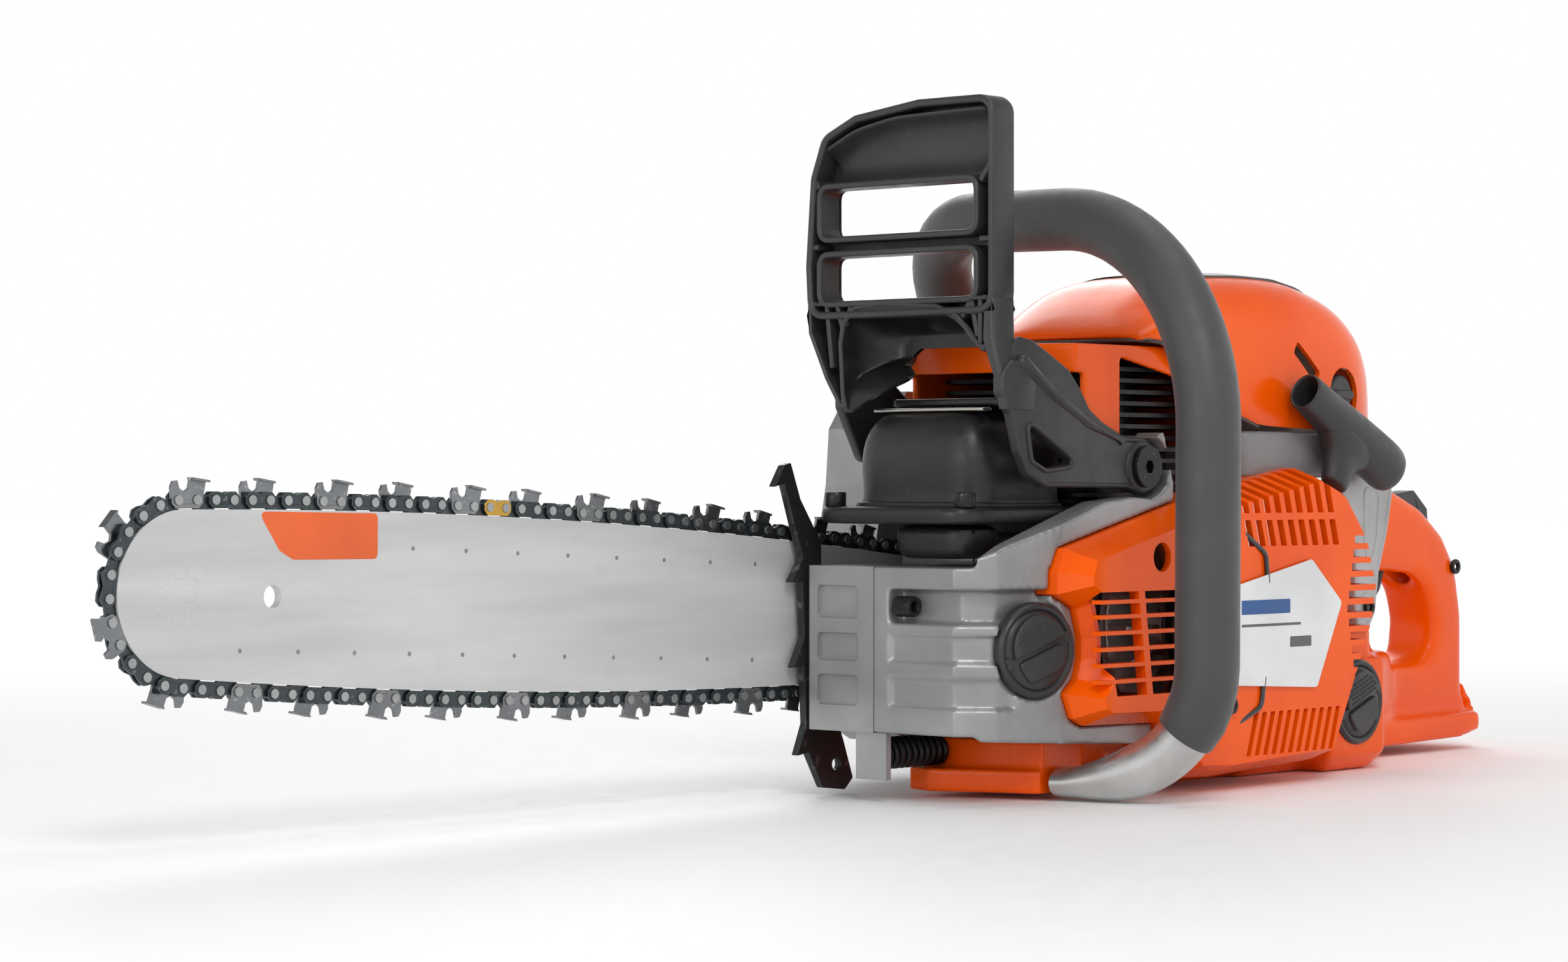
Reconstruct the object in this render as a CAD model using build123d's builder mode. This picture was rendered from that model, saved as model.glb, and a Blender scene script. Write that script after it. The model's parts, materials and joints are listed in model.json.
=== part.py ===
from build123d import *
from math import atan2, cos, degrees, radians, sin
import os

os.makedirs("parts", exist_ok=True)

# ---------------------------------------------------------------- driving dimensions, mm
# X runs from the bar tip to the rear handle, Y to the saw's right, Z up.  The floor is Z = 0,
# the crank axis is above the origin and the two crankcase halves meet at Y = 0.
CRANK_Z = 69.0             # height of the crank axis
BAR_Y = 46.0               # middle plane of bar, chain and sprockets
BAR_TILT = 2.73            # nose-up angle of the bar, degrees
BAR_THICK = 4.0
CHAIN_PITCH = 8.255        # 0.325 in chain: mean distance between rivets
DRIVE_LINKS = 64
NOSE_X = -477.1            # tip of the bar nose, measured along the bar from the crank axis
NOSE_R = 29.4
SPROCKET_R = 18.55         # rivet circle on the seven-tooth rim sprocket
RIVET_OUT = 3.3            # rivets ride this far outside the bar rails

FRONT_X = -130.0           # front face of the crankcase
CASE_LOW, CASE_HIGH = 28.0, 95.0
DECK_Z = 108.0             # cylinder seat
CASE_RIGHT, CASE_LEFT = 38.0, -45.0
SHAFT_R = 7.5
PISTON_R = 22.0
STROKE = 34.0
PIN_Z = 143.0              # piston pin at top dead centre

FLYWHEEL_Y = -48.0
COVER_IN, COVER_OUT = -46.0, -78.0   # starter cover, from its joint face to its outer face
DRUM_R = 36.0
CLUTCH_OUT = 88.0          # outer face of the clutch cover

PIVOT = (-24.4, 135.4)     # hand guard pivot, X and Z
TUBE_R, GRIP_R = 11.0, 13.0
HANDLE_W = 28.0            # width of the rear handle
CAP_R = 19.2               # tank caps
FIT = 0.3                  # clearance between pieces that move past each other


def side(y):
    """Plane at the given Y, seen from the saw's left: local x is X, local y is Z."""
    return Plane.XZ.offset(-y)


def finish(builder, name):
    """Label a finished piece and write it."""
    builder.part.label = name
    export_step(builder.part, f"parts/{name}.step")


def outline(points):
    """Closed straight-sided face in the open sketch, with its points where they are given."""
    Polygon(*points, align=None)


# ---------------------------------------------------------------- crankcase
COVER_OUTLINE = [
    (-87.7, 102.9), (-92, 93), (-92, 84), (-80, 78), (-76.4, 66), (-76.4, 58), (-79, 50),
    (-86.4, 44.2), (-81.4, 33.8), (-74, 30.5), (-25, 29.5), (-24, 18), (-14, 6), (12, 5),
    (90, 8), (102, 30), (112, 48), (122, 66), (126, 84), (118, 107), (100, 127),
    (92.6, 130.5), (77.8, 135.7), (36.8, 129.1), (-9.4, 121.2),
]
LEFT_PLAN = [(FRONT_X, 0), (FRONT_X, -42), (-118, -54), (-86, -62), (-62, -62), (-62, 0)]
CAP_NORMAL = (-0.2425, -0.9701, 0)
OIL_CAP_AT = (-99.0, -58.7, 62.0)
oil_cap_plane = Plane(origin=OIL_CAP_AT, x_dir=(0.9701, -0.2425, 0), z_dir=CAP_NORMAL)

LEFT_WALL = [
    (-128, 30), (-128, 97), (-112, 104), (-56, 121), (-36, 123), (-24, 122), (-12.5, 128),
    (-13, 140), (-20, 147.5), (-16, 150), (-9, 128), (-9, 110), (-60, 90), (-60, 45), (-25, 29.5),
    (-25, 21), (-122, 26),
]
PANEL_ROWS = [(56.5, 68.0), (38.5, 51.0)]

with BuildPart() as crankcase_left:
    with BuildSketch(Plane.XY.offset(CASE_LOW)):
        outline(LEFT_PLAN)
    extrude(amount=CASE_HIGH - CASE_LOW)
    with BuildSketch(side(0)):
        with Locations((-2, 66)):
            RectangleRounded(128, 84, 12)
    extrude(amount=-CASE_LEFT)
    with BuildSketch(side(-48)):
        outline(LEFT_WALL)
        with Locations((OIL_CAP_AT[0], OIL_CAP_AT[2])):
            Circle(22)
    extrude(amount=14)
    # room for the starter cover, which meets the wall along a narrow seam
    with BuildSketch(side(COVER_IN)):
        outline(COVER_OUTLINE)
    extrude(amount=20, mode=Mode.SUBTRACT)
    # the side wall leans in towards the front corner
    with BuildSketch(Plane.XY):
        outline([(-150, -42), (FRONT_X, -42), (-118, -54), (-86, -62), (-86, -80), (-150, -80)])
    extrude(amount=150, mode=Mode.SUBTRACT)
    # slot pocket that runs round the front corner
    with BuildSketch(Plane.XY.offset(72.5)):
        outline([
            (-140, -8), (-122, -8), (-122, -40), (-112, -48), (-92, -53), (-92, -75), (-140, -75),
        ])
    extrude(amount=13.5, mode=Mode.SUBTRACT)
    # shallow recessed panels below it
    for low, high in PANEL_ROWS:
        with BuildSketch(Plane.XY.offset(low)):
            outline([
                (-140, -8), (-128.5, -8), (-128.5, -41), (-117, -52.3), (-108, -54.6), (-112, -75),
                (-140, -75),
            ])
        extrude(amount=high - low, mode=Mode.SUBTRACT)
    # oil tank and its filler
    with BuildSketch(Plane.XY.offset(33)):
        outline([(-119, -5), (-119, -36), (-110, -44), (-92, -49), (-72, -49), (-72, -5)])
    extrude(amount=36, mode=Mode.SUBTRACT)
    with BuildSketch(oil_cap_plane.offset(6)):
        Circle(CAP_R + 0.6)
    extrude(amount=-9, mode=Mode.SUBTRACT)
    with BuildSketch(oil_cap_plane):
        Circle(14.3)
    extrude(amount=-16, mode=Mode.SUBTRACT)
    # crank chamber, bearing and seal seats, cylinder opening
    for radius, start, depth in ((31, 0, 13), (17.5, -13, 11), (14, -24, 6), (10, -30, 20)):
        with BuildSketch(side(start)):
            with Locations((0, CRANK_Z)):
                Circle(radius)
        extrude(amount=depth, mode=Mode.SUBTRACT)
    with BuildSketch(Plane.XY.offset(80)):
        Circle(23)
    extrude(amount=40, mode=Mode.SUBTRACT)
    # seat for the hand guard's left eye and the hole for its bolt
    for radius, start in ((12.6, -51.5), (4, -46)):
        with BuildSketch(side(start)):
            with Locations(PIVOT):
                Circle(radius)
        extrude(amount=20, mode=Mode.SUBTRACT)
finish(crankcase_left, "crankcase_left")

with BuildPart() as crankcase_right:
    with BuildSketch(Plane.XY.offset(CASE_LOW)):
        outline([(FRONT_X, 0), (FRONT_X, 34), (-126, CASE_RIGHT), (-62, CASE_RIGHT), (-62, 0)])
    extrude(amount=CASE_HIGH - CASE_LOW)
    with BuildSketch(side(CASE_RIGHT)):
        with Locations((-2, 66)):
            RectangleRounded(128, 84, 12)
    extrude(amount=CASE_RIGHT)
    # bar pad
    with BuildSketch(side(BAR_Y - BAR_THICK / 2)):
        with Locations((-82, 73)):
            RectangleRounded(64, 38, 8)
    extrude(amount=6)
    # lug for the front spring
    with BuildSketch(Plane.XY.offset(9)):
        with Locations((-127.5, 2)):
            Rectangle(3, 16)
    extrude(amount=19)
    # recessed panels in the front face
    for low, high in [(73.8, 87.2)] + PANEL_ROWS:
        with BuildSketch(Plane.YZ.offset(FRONT_X)):
            with Locations((19, (low + high) / 2)):
                RectangleRounded(22, high - low, 2)
        extrude(amount=1.8, mode=Mode.SUBTRACT)
    for radius, start, depth in ((31, 13, 13), (17.5, 24, 11), (14, 30, 6), (10, 38, 8)):
        with BuildSketch(side(start)):
            with Locations((0, CRANK_Z)):
                Circle(radius)
        extrude(amount=depth, mode=Mode.SUBTRACT)
    with BuildSketch(Plane.XY.offset(80)):
        Circle(23)
    extrude(amount=40, mode=Mode.SUBTRACT)
    # threads for the two bar studs
    with BuildSketch(side(BAR_Y - BAR_THICK / 2)):
        with Locations((-72, 72.4), (-100, 73.8)):
            Circle(4)
    extrude(amount=20, mode=Mode.SUBTRACT)
finish(crankcase_right, "crankcase_right")

# screws that pull the two halves together, seen in the slot pocket and behind it
with BuildPart() as case_screws:
    with BuildSketch(side(-10)):
        with Locations((-126.5, 79.2)):
            Circle(4.2)
            Circle(2.2, mode=Mode.SUBTRACT)
    extrude(amount=9)
    with BuildSketch(side(CASE_LEFT)):
        with Locations((-46, 40), (46, 38), (46, 100), (-46, 97)):
            Circle(4)
            Circle(2, mode=Mode.SUBTRACT)
    extrude(amount=2.5)
finish(case_screws, "case_screws")

# bumper spike, a toothed plate on the bar side of the crankcase front
with BuildPart() as bumper_spike:
    with BuildSketch(side(41.5)):
        outline([
            (-137, 137), (-141, 136), (-147, 127), (-141, 128.5), (-135, 112), (-129.5, 98),
            (-137, 88), (-130, 88.5), (-128.5, 66), (-135.5, 53), (-129, 54), (-127.5, 30),
            (-133, 17), (-126, 18), (-117, 3), (-103, 1.5), (-98, 6), (-104, 22), (-112, 40),
            (-118, 70), (-118, 104), (-131, 122),
        ])
        with Locations((-108.5, 12.3)):
            Circle(2.6, mode=Mode.SUBTRACT)
    extrude(amount=3.5)
finish(bumper_spike, "bumper_spike")

with BuildPart() as spike_screws:
    for z in (44, 92):
        with BuildSketch(side(42.8)):
            with Locations((-121.5, z)):
                Circle(3.6)
                RegularPolygon(1.9, 6, mode=Mode.SUBTRACT)
        extrude(amount=1.3)
finish(spike_screws, "spike_screws")

# ---------------------------------------------------------------- engine
FIN_PITCH, FIN_COUNT = 4.8, 14
PLUG_X = 8.0               # the spark plug stands a little behind the cylinder's axis
with BuildPart() as cylinder:
    with BuildSketch(Plane.XY.offset(DECK_Z)):
        RectangleRounded(76, 70, 6)
    extrude(amount=6)
    with BuildSketch(Plane.XY.offset(DECK_Z - 9)):
        Circle(23)
    extrude(amount=10)
    with BuildSketch(Plane.XY.offset(DECK_Z)):
        Circle(28)
    extrude(amount=74)
    for k in range(FIN_COUNT):
        with BuildSketch(Plane.XY.offset(DECK_Z + 10 + k * FIN_PITCH)):
            RectangleRounded(84, 78, 10)
        extrude(amount=1.8)
    # exhaust flange to the front, intake flange to the rear
    with BuildSketch(Plane.YZ.offset(-46)):
        with Locations((0, 142)):
            RectangleRounded(40, 26, 4)
    extrude(amount=26)
    with BuildSketch(Plane.YZ.offset(20)):
        with Locations((0, 131)):
            RectangleRounded(36, 28, 4)
    extrude(amount=26)
    with BuildSketch(Plane.YZ.offset(-47)):
        with Locations((0, 142)):
            RectangleRounded(22, 12, 3)
    extrude(amount=40, mode=Mode.SUBTRACT)
    with BuildSketch(Plane.YZ.offset(7)):
        with Locations((0, 131)):
            Circle(10)
    extrude(amount=40, mode=Mode.SUBTRACT)
    with BuildSketch(Plane.XY.offset(90)):
        Circle(PISTON_R + 0.05)
    extrude(amount=78, mode=Mode.SUBTRACT)
    for radius, low in ((5, 160), (9.5, 182)):
        with BuildSketch(Plane.XY.offset(low)):
            with Locations((PLUG_X, 0)):
                Circle(radius)
        extrude(amount=40, mode=Mode.SUBTRACT)
finish(cylinder, "cylinder")

with BuildPart() as spark_plug:
    for radius, low, high in ((5, 168, 182), (4.5, 188, 194)):
        with BuildSketch(Plane.XY.offset(low)):
            with Locations((PLUG_X, 0)):
                Circle(radius)
        extrude(amount=high - low)
    with BuildSketch(Plane.XY.offset(182)):
        with Locations((PLUG_X, 0)):
            RegularPolygon(8, 6)
    extrude(amount=6)
finish(spark_plug, "spark_plug")

with BuildPart() as plug_boot:
    with BuildSketch(Plane.XY.offset(189)):
        with Locations((PLUG_X, 0)):
            Circle(7)
    extrude(amount=8)
    with BuildSketch(Plane.XY.offset(189)):
        with Locations((PLUG_X, 0)):
            Circle(4.5)
    extrude(amount=5, mode=Mode.SUBTRACT)
finish(plug_boot, "plug_boot")

BIG_END_Z = PIN_Z - 57
with BuildPart() as piston:
    with BuildSketch(Plane.XY.offset(PIN_Z - 9.5)):
        Circle(PISTON_R)
    extrude(amount=30.5)
    for z in (154, 158.5):
        with BuildSketch(Plane.XY.offset(z)):
            Circle(PISTON_R)
            Circle(PISTON_R - 1.2, mode=Mode.SUBTRACT)
        extrude(amount=1.2, mode=Mode.SUBTRACT)
    with BuildSketch(Plane.XY.offset(PIN_Z - 10)):
        RectangleRounded(34, 12, 3)
    extrude(amount=22, mode=Mode.SUBTRACT)
    with BuildSketch(side(18)):
        with Locations((0, PIN_Z)):
            Circle(5)
    extrude(amount=36, mode=Mode.SUBTRACT)
finish(piston, "piston")

# the rod keeps the piston pin and the crank pin; the webs stay clear of the crank pin
with BuildPart() as connecting_rod:
    with BuildSketch(side(5)):
        with Locations((0, PIN_Z)):
            Circle(8)
        with Locations((0, BIG_END_Z)):
            Circle(10)
        with Locations((0, (PIN_Z + BIG_END_Z) / 2)):
            Rectangle(9, PIN_Z - BIG_END_Z - 6)
    extrude(amount=10)
    with BuildSketch(side(16)):
        with Locations((0, PIN_Z)):
            Circle(5)
    extrude(amount=32)
finish(connecting_rod, "connecting_rod")

with BuildPart() as crankshaft:
    for y in (12.4, -6.4):
        with BuildSketch(side(y)):
            with Locations((0, CRANK_Z)):
                Circle(28)
        extrude(amount=6)
    journal = SHAFT_R - 0.02
    for y, length, radius in ((31, 18.6, journal), (-12.4, 18.6, journal), (70, 39, 6), (-31, 33, 6)):
        with BuildSketch(side(y)):
            with Locations((0, CRANK_Z)):
                Circle(radius)
        extrude(amount=length)
finish(crankshaft, "crankshaft")

with BuildPart() as main_bearings:
    for y in (24, -13):
        with BuildSketch(side(y)):
            with Locations((0, CRANK_Z)):
                Circle(17.5)
                Circle(SHAFT_R + 0.02, mode=Mode.SUBTRACT)
        extrude(amount=11)
finish(main_bearings, "main_bearings")

with BuildPart() as crank_seals:
    for y in (30, -24):
        with BuildSketch(side(y)):
            with Locations((0, CRANK_Z)):
                Circle(14)
                Circle(SHAFT_R + 0.05, mode=Mode.SUBTRACT)
        extrude(amount=6)
finish(crank_seals, "crank_seals")

FLYWHEEL_R = 43.0
with BuildPart() as flywheel:
    with BuildSketch(side(FLYWHEEL_Y)):
        with Locations((0, CRANK_Z)):
            Circle(FLYWHEEL_R)
            Circle(6, mode=Mode.SUBTRACT)
    extrude(amount=4)
    with BuildSketch(side(FLYWHEEL_Y - 3)):
        with Locations((0, CRANK_Z)):
            Circle(16)
            Circle(6, mode=Mode.SUBTRACT)
    extrude(amount=9)
    with BuildSketch(side(FLYWHEEL_Y - 3)):
        with Locations((0, CRANK_Z)):
            with PolarLocations(31, 18):
                Rectangle(23, 2)
    extrude(amount=11)
finish(flywheel, "flywheel")

with BuildPart() as ignition_module:
    with BuildSketch(side(-50)):
        outline([(48, 58), (62, 58), (62, 90), (48, 90)])
    extrude(amount=10)
finish(ignition_module, "ignition_module")

# ---------------------------------------------------------------- clutch side
with BuildPart() as oil_pump:
    with BuildSketch(side(41.5)):
        with Locations((0, CRANK_Z)):
            Circle(17)
            Circle(7, mode=Mode.SUBTRACT)
    extrude(amount=3.5)
finish(oil_pump, "oil_pump")

with BuildPart() as clutch_drum:
    with BuildSketch(side(54)):
        with Locations((0, CRANK_Z)):
            Circle(DRUM_R)
            Circle(6.05, mode=Mode.SUBTRACT)
    extrude(amount=2)
    with BuildSketch(side(68)):
        with Locations((0, CRANK_Z)):
            Circle(DRUM_R)
            Circle(DRUM_R - 1.8, mode=Mode.SUBTRACT)
    extrude(amount=14)
    with BuildSketch(side(52)):
        with Locations((0, CRANK_Z)):
            Circle(9)
            Circle(6.05, mode=Mode.SUBTRACT)
    extrude(amount=10)
finish(clutch_drum, "clutch_drum")

# rim sprocket: two flanges that carry the side links, with room between them for the drive links
with BuildPart() as rim_sprocket:
    for radius, y, depth in ((14.9, 50.3, 2.0), (10.6, 48.3, 4.6), (14.9, 43.7, 2.0)):
        with BuildSketch(side(y)):
            with Locations((0, CRANK_Z)):
                Circle(radius)
                Circle(9, mode=Mode.SUBTRACT)
        extrude(amount=depth)
finish(rim_sprocket, "rim_sprocket")

with BuildPart() as clutch_shoes:
    with BuildSketch(side(66)):
        with Locations((0, CRANK_Z)):
            Circle(DRUM_R - 3)
            Circle(6, mode=Mode.SUBTRACT)
            with PolarLocations(24, 3):
                Rectangle(20, 1.6, mode=Mode.SUBTRACT)
    extrude(amount=10)
finish(clutch_shoes, "clutch_shoes")

with BuildPart() as brake_band:
    with BuildSketch(side(64)):
        with Locations((0, CRANK_Z)):
            Circle(DRUM_R + 1.4)
            Circle(DRUM_R + 0.4, mode=Mode.SUBTRACT)
        with Locations((32, CRANK_Z + 22)):
            Rectangle(12, 14, mode=Mode.SUBTRACT)
    extrude(amount=9)
finish(brake_band, "brake_band")

CLUTCH_OUTLINE = [
    (-64, 36), (-56, 24), (-42, 17), (30, 17), (50, 30), (58, 60), (54, 92), (34, 116),
    (-6, 138), (-14, 162), (-22, 168), (-44, 168), (-56, 152), (-58, 128), (-64, 100),
]
with BuildPart() as clutch_cover:
    with BuildSketch(side(CLUTCH_OUT)):
        outline(CLUTCH_OUTLINE)
    extrude(amount=34)
    # flat front plate that clamps the bar
    with BuildSketch(side(58)):
        with Locations((-88, 72)):
            RectangleRounded(76, 50, 8)
    extrude(amount=9.7)
    # room for the drum, the band and the chain
    with BuildSketch(side(76)):
        with Locations((0, CRANK_Z)):
            Circle(DRUM_R + 1.4)
    extrude(amount=30, mode=Mode.SUBTRACT)
    with BuildSketch(side(55)):
        outline([(-64, 30), (-40, 26), (40, 26), (46, 69), (40, 106), (-40, 112), (-64, 112)])
    extrude(amount=12, mode=Mode.SUBTRACT)
    # recess for the bar nuts and the stud holes
    with BuildSketch(side(CLUTCH_OUT + 1)):
        outline([(-80, 56), (-60, 56), (-60, 90), (-80, 90)])
    extrude(amount=31, mode=Mode.SUBTRACT)
    with BuildSketch(side(70)):
        with Locations((-72, 72.4), (-100, 73.8)):
            Circle(4)
    extrude(amount=30, mode=Mode.SUBTRACT)
finish(clutch_cover, "clutch_cover")

with BuildPart() as bar_studs:
    with BuildSketch(side(66)):
        with Locations((-72, 72.4), (-100, 73.8)):
            Circle(4)
    extrude(amount=38)
finish(bar_studs, "bar_studs")

with BuildPart() as bar_nuts:
    with BuildSketch(side(66)):
        with Locations((-72, 72.4), (-100, 73.8)):
            RegularPolygon(7.5, 6)
            Circle(4, mode=Mode.SUBTRACT)
    extrude(amount=8)
finish(bar_nuts, "bar_nuts")

# ---------------------------------------------------------------- guide bar
# The bar is drawn along its own axis and tilted about the crank axis.
bar_plane = Plane(
    origin=(0, BAR_Y, CRANK_Z),
    x_dir=(cos(radians(BAR_TILT)), 0, -sin(radians(BAR_TILT))),
    z_dir=(0, -1, 0),
)
NOSE_CX = NOSE_X + NOSE_R
RAIL_MID_X, RAIL_MID, RAIL_TAIL_X, RAIL_TAIL = -281.0, 33.0, -52.0, 25.5


def bar_face(inset, mode=Mode.ADD):
    """Bar outline with arched rails and a round nose, drawn this far inside its edge."""
    nose_r = NOSE_R - inset
    high, tail, end = RAIL_MID - inset, RAIL_TAIL - inset, 14 - inset
    with BuildLine() as rim:
        ThreePointArc((NOSE_CX, nose_r), (RAIL_MID_X, high), (RAIL_TAIL_X, tail))
        heel = RAIL_TAIL_X + 14
        Polyline((RAIL_TAIL_X, tail), (heel, end), (heel, -end), (RAIL_TAIL_X, -tail))
        ThreePointArc((RAIL_TAIL_X, -tail), (RAIL_MID_X, -high), (NOSE_CX, -nose_r))
        ThreePointArc((NOSE_CX, -nose_r), (NOSE_CX - nose_r, 0), (NOSE_CX, nose_r))
    make_face(rim.edges(), mode=mode)


GROOVE_W, GROOVE_D = 1.5, 6.5
HANG_HOLE_X = -407.8
HANG_HOLE_R = 4.2
with BuildPart() as guide_bar:
    with BuildSketch(bar_plane.offset(-BAR_THICK / 2)):
        bar_face(0)
    extrude(amount=BAR_THICK)
    # chain groove round the whole edge
    with BuildSketch(bar_plane.offset(-GROOVE_W / 2)):
        bar_face(0)
        bar_face(GROOVE_D, mode=Mode.SUBTRACT)
    extrude(amount=GROOVE_W, mode=Mode.SUBTRACT)
    # pocket for the nose sprocket, open to the groove
    with BuildSketch(bar_plane.offset(-GROOVE_W / 2)):
        with Locations((NOSE_CX, 0)):
            Circle(NOSE_R - GROOVE_D + 0.5)
            Circle(7, mode=Mode.SUBTRACT)
    extrude(amount=GROOVE_W, mode=Mode.SUBTRACT)
    # hang hole, stud slot and adjuster hole
    with BuildSketch(bar_plane.offset(-BAR_THICK)):
        with Locations((HANG_HOLE_X, 0)):
            Circle(HANG_HOLE_R)
        with Locations((-86, 0)):
            SlotOverall(44, 8.4)
        with Locations((-66, 17)):
            Circle(3)
    extrude(amount=2 * BAR_THICK, mode=Mode.SUBTRACT)
finish(guide_bar, "guide_bar")

with BuildPart() as nose_sprocket:
    with BuildSketch(bar_plane.offset(-0.6)):
        with Locations((NOSE_CX, 0)):
            Circle(19.5)
            with PolarLocations(20, 10):
                RegularPolygon(3.2, 3)
            Circle(7.05, mode=Mode.SUBTRACT)
    extrude(amount=1.2)
finish(nose_sprocket, "nose_sprocket")

# ---------------------------------------------------------------- chain
with BuildLine(bar_plane) as chain_path:
    rail_top = ThreePointArc(
        (NOSE_CX, NOSE_R + RIVET_OUT),
        (RAIL_MID_X, RAIL_MID + RIVET_OUT),
        (RAIL_TAIL_X, RAIL_TAIL + RIVET_OUT),
    )
    run_top = Line(rail_top @ 1, (SPROCKET_R * 0.17, SPROCKET_R * 0.985))
    around = ThreePointArc(
        (SPROCKET_R * 0.17, SPROCKET_R * 0.985), (SPROCKET_R, 0), (SPROCKET_R * 0.17, -SPROCKET_R * 0.985)
    )
    run_low = Line((SPROCKET_R * 0.17, -SPROCKET_R * 0.985), (RAIL_TAIL_X, -RAIL_TAIL - RIVET_OUT))
    rail_low = ThreePointArc(
        (RAIL_TAIL_X, -RAIL_TAIL - RIVET_OUT),
        (RAIL_MID_X, -RAIL_MID - RIVET_OUT),
        (NOSE_CX, -NOSE_R - RIVET_OUT),
    )
    ThreePointArc(
        (NOSE_CX, -NOSE_R - RIVET_OUT), (NOSE_CX - NOSE_R - RIVET_OUT, 0), (NOSE_CX, NOSE_R + RIVET_OUT)
    )

loop = chain_path.wire()
PITCHES = 2 * DRIVE_LINKS
print("chain path", round(loop.length, 2), "wanted", round(PITCHES * CHAIN_PITCH, 2))
RIVET_R = 1.75


CHAIN_PHASE = -1.52        # where the chain stopped, in pitches along the bar


def rivet_point(k):
    """Centre of rivet k on the chain's path."""
    return loop.position_at((k + CHAIN_PHASE) / PITCHES % 1, position_mode=PositionMode.PARAMETER)


rivet_points = [(rivet_point(k).X, rivet_point(k).Z) for k in range(PITCHES)]


def link_place(k):
    """Place of the link between rivets k and k + 1, with local y away from the bar."""
    first, second = rivet_point(k), rivet_point(k + 1)
    middle, along = (first + second) * 0.5, second - first
    return Location((middle.X, middle.Z, 0), (0, 0, degrees(atan2(along.Z, along.X))))


def chain_layer(places, points, holes=True):
    """The same link outline at each place of the open sketch, with the rivet holes."""
    with Locations(*places):
        Polygon(*points, align=None)
    if holes:
        with Locations(*rivet_points):
            Circle(RIVET_R, mode=Mode.SUBTRACT)


STRAP = [
    (-6.9, -1.2), (-6.9, 1.2), (-5.2, 2.95), (-2.6, 2.95), (0, 2.2), (2.6, 2.95), (5.2, 2.95),
    (6.9, 1.2), (6.9, -1.2), (5.2, -2.95), (-5.2, -2.95),
]
DRIVER = [
    (-6.6, -1.6), (-6.6, 1.6), (-4.1, 2.9), (-1.2, 1.2), (1.2, 1.2), (4.1, 2.9), (6.6, 1.6),
    (6.6, -1.6), (4.4, -3.4), (1.9, -6.9), (-1.4, -6.9), (-4.6, -2.9),
]
CUTTER = [
    (-6.9, -1.2), (-7.4, 4.6), (-6.4, 6.6), (-4.4, 6.9), (-3.6, 4.2), (-1.6, 2.9), (0.4, 4.0),
    (1.2, 7.6), (8.2, 6.6), (7.2, 2.0), (6.9, -1.2), (5.2, -2.95), (-5.2, -2.95),
]
CUTTER_TOP = [(0.8, 7.9), (8.6, 6.8), (8.6, 6.0), (1.4, 6.9)]
DRIVE_HALF, STRAP_IN, STRAP_OUT, KERF_HALF = 0.65, 0.7, 1.9, 3.9

drive_places = [link_place(k) for k in range(0, PITCHES, 2)]
side_places = [link_place(k) for k in range(1, PITCHES, 2)]
left_places, right_places = side_places[0::4], side_places[2::4]
left_straps = [place for place in side_places if place not in left_places]
right_straps = [place for place in side_places if place not in right_places]

with BuildPart() as drive_links:
    with BuildSketch(side(BAR_Y + DRIVE_HALF)):
        chain_layer(drive_places, DRIVER)
    extrude(amount=2 * DRIVE_HALF)
finish(drive_links, "drive_links")

with BuildPart() as tie_straps:
    with BuildSketch(side(BAR_Y - STRAP_IN)):
        chain_layer(left_straps, STRAP)
    extrude(amount=STRAP_OUT - STRAP_IN)
    with BuildSketch(side(BAR_Y + STRAP_OUT)):
        chain_layer(right_straps, STRAP)
    extrude(amount=STRAP_OUT - STRAP_IN)
finish(tie_straps, "tie_straps")

with BuildPart() as left_cutters:
    with BuildSketch(side(BAR_Y - STRAP_IN)):
        chain_layer(left_places, CUTTER)
    extrude(amount=STRAP_OUT - STRAP_IN)
    with BuildSketch(side(BAR_Y - 0.2)):
        chain_layer(left_places, CUTTER_TOP, holes=False)
    extrude(amount=KERF_HALF - 0.2)
finish(left_cutters, "left_cutters")

with BuildPart() as right_cutters:
    with BuildSketch(side(BAR_Y + STRAP_OUT)):
        chain_layer(right_places, CUTTER)
    extrude(amount=STRAP_OUT - STRAP_IN)
    with BuildSketch(side(BAR_Y + KERF_HALF)):
        chain_layer(right_places, CUTTER_TOP, holes=False)
    extrude(amount=KERF_HALF - 0.2)
finish(right_cutters, "right_cutters")

with BuildPart() as chain_rivets:
    with BuildSketch(side(BAR_Y + 2.5)):
        with Locations(*rivet_points):
            Circle(RIVET_R)
    extrude(amount=5)
finish(chain_rivets, "chain_rivets")

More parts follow.
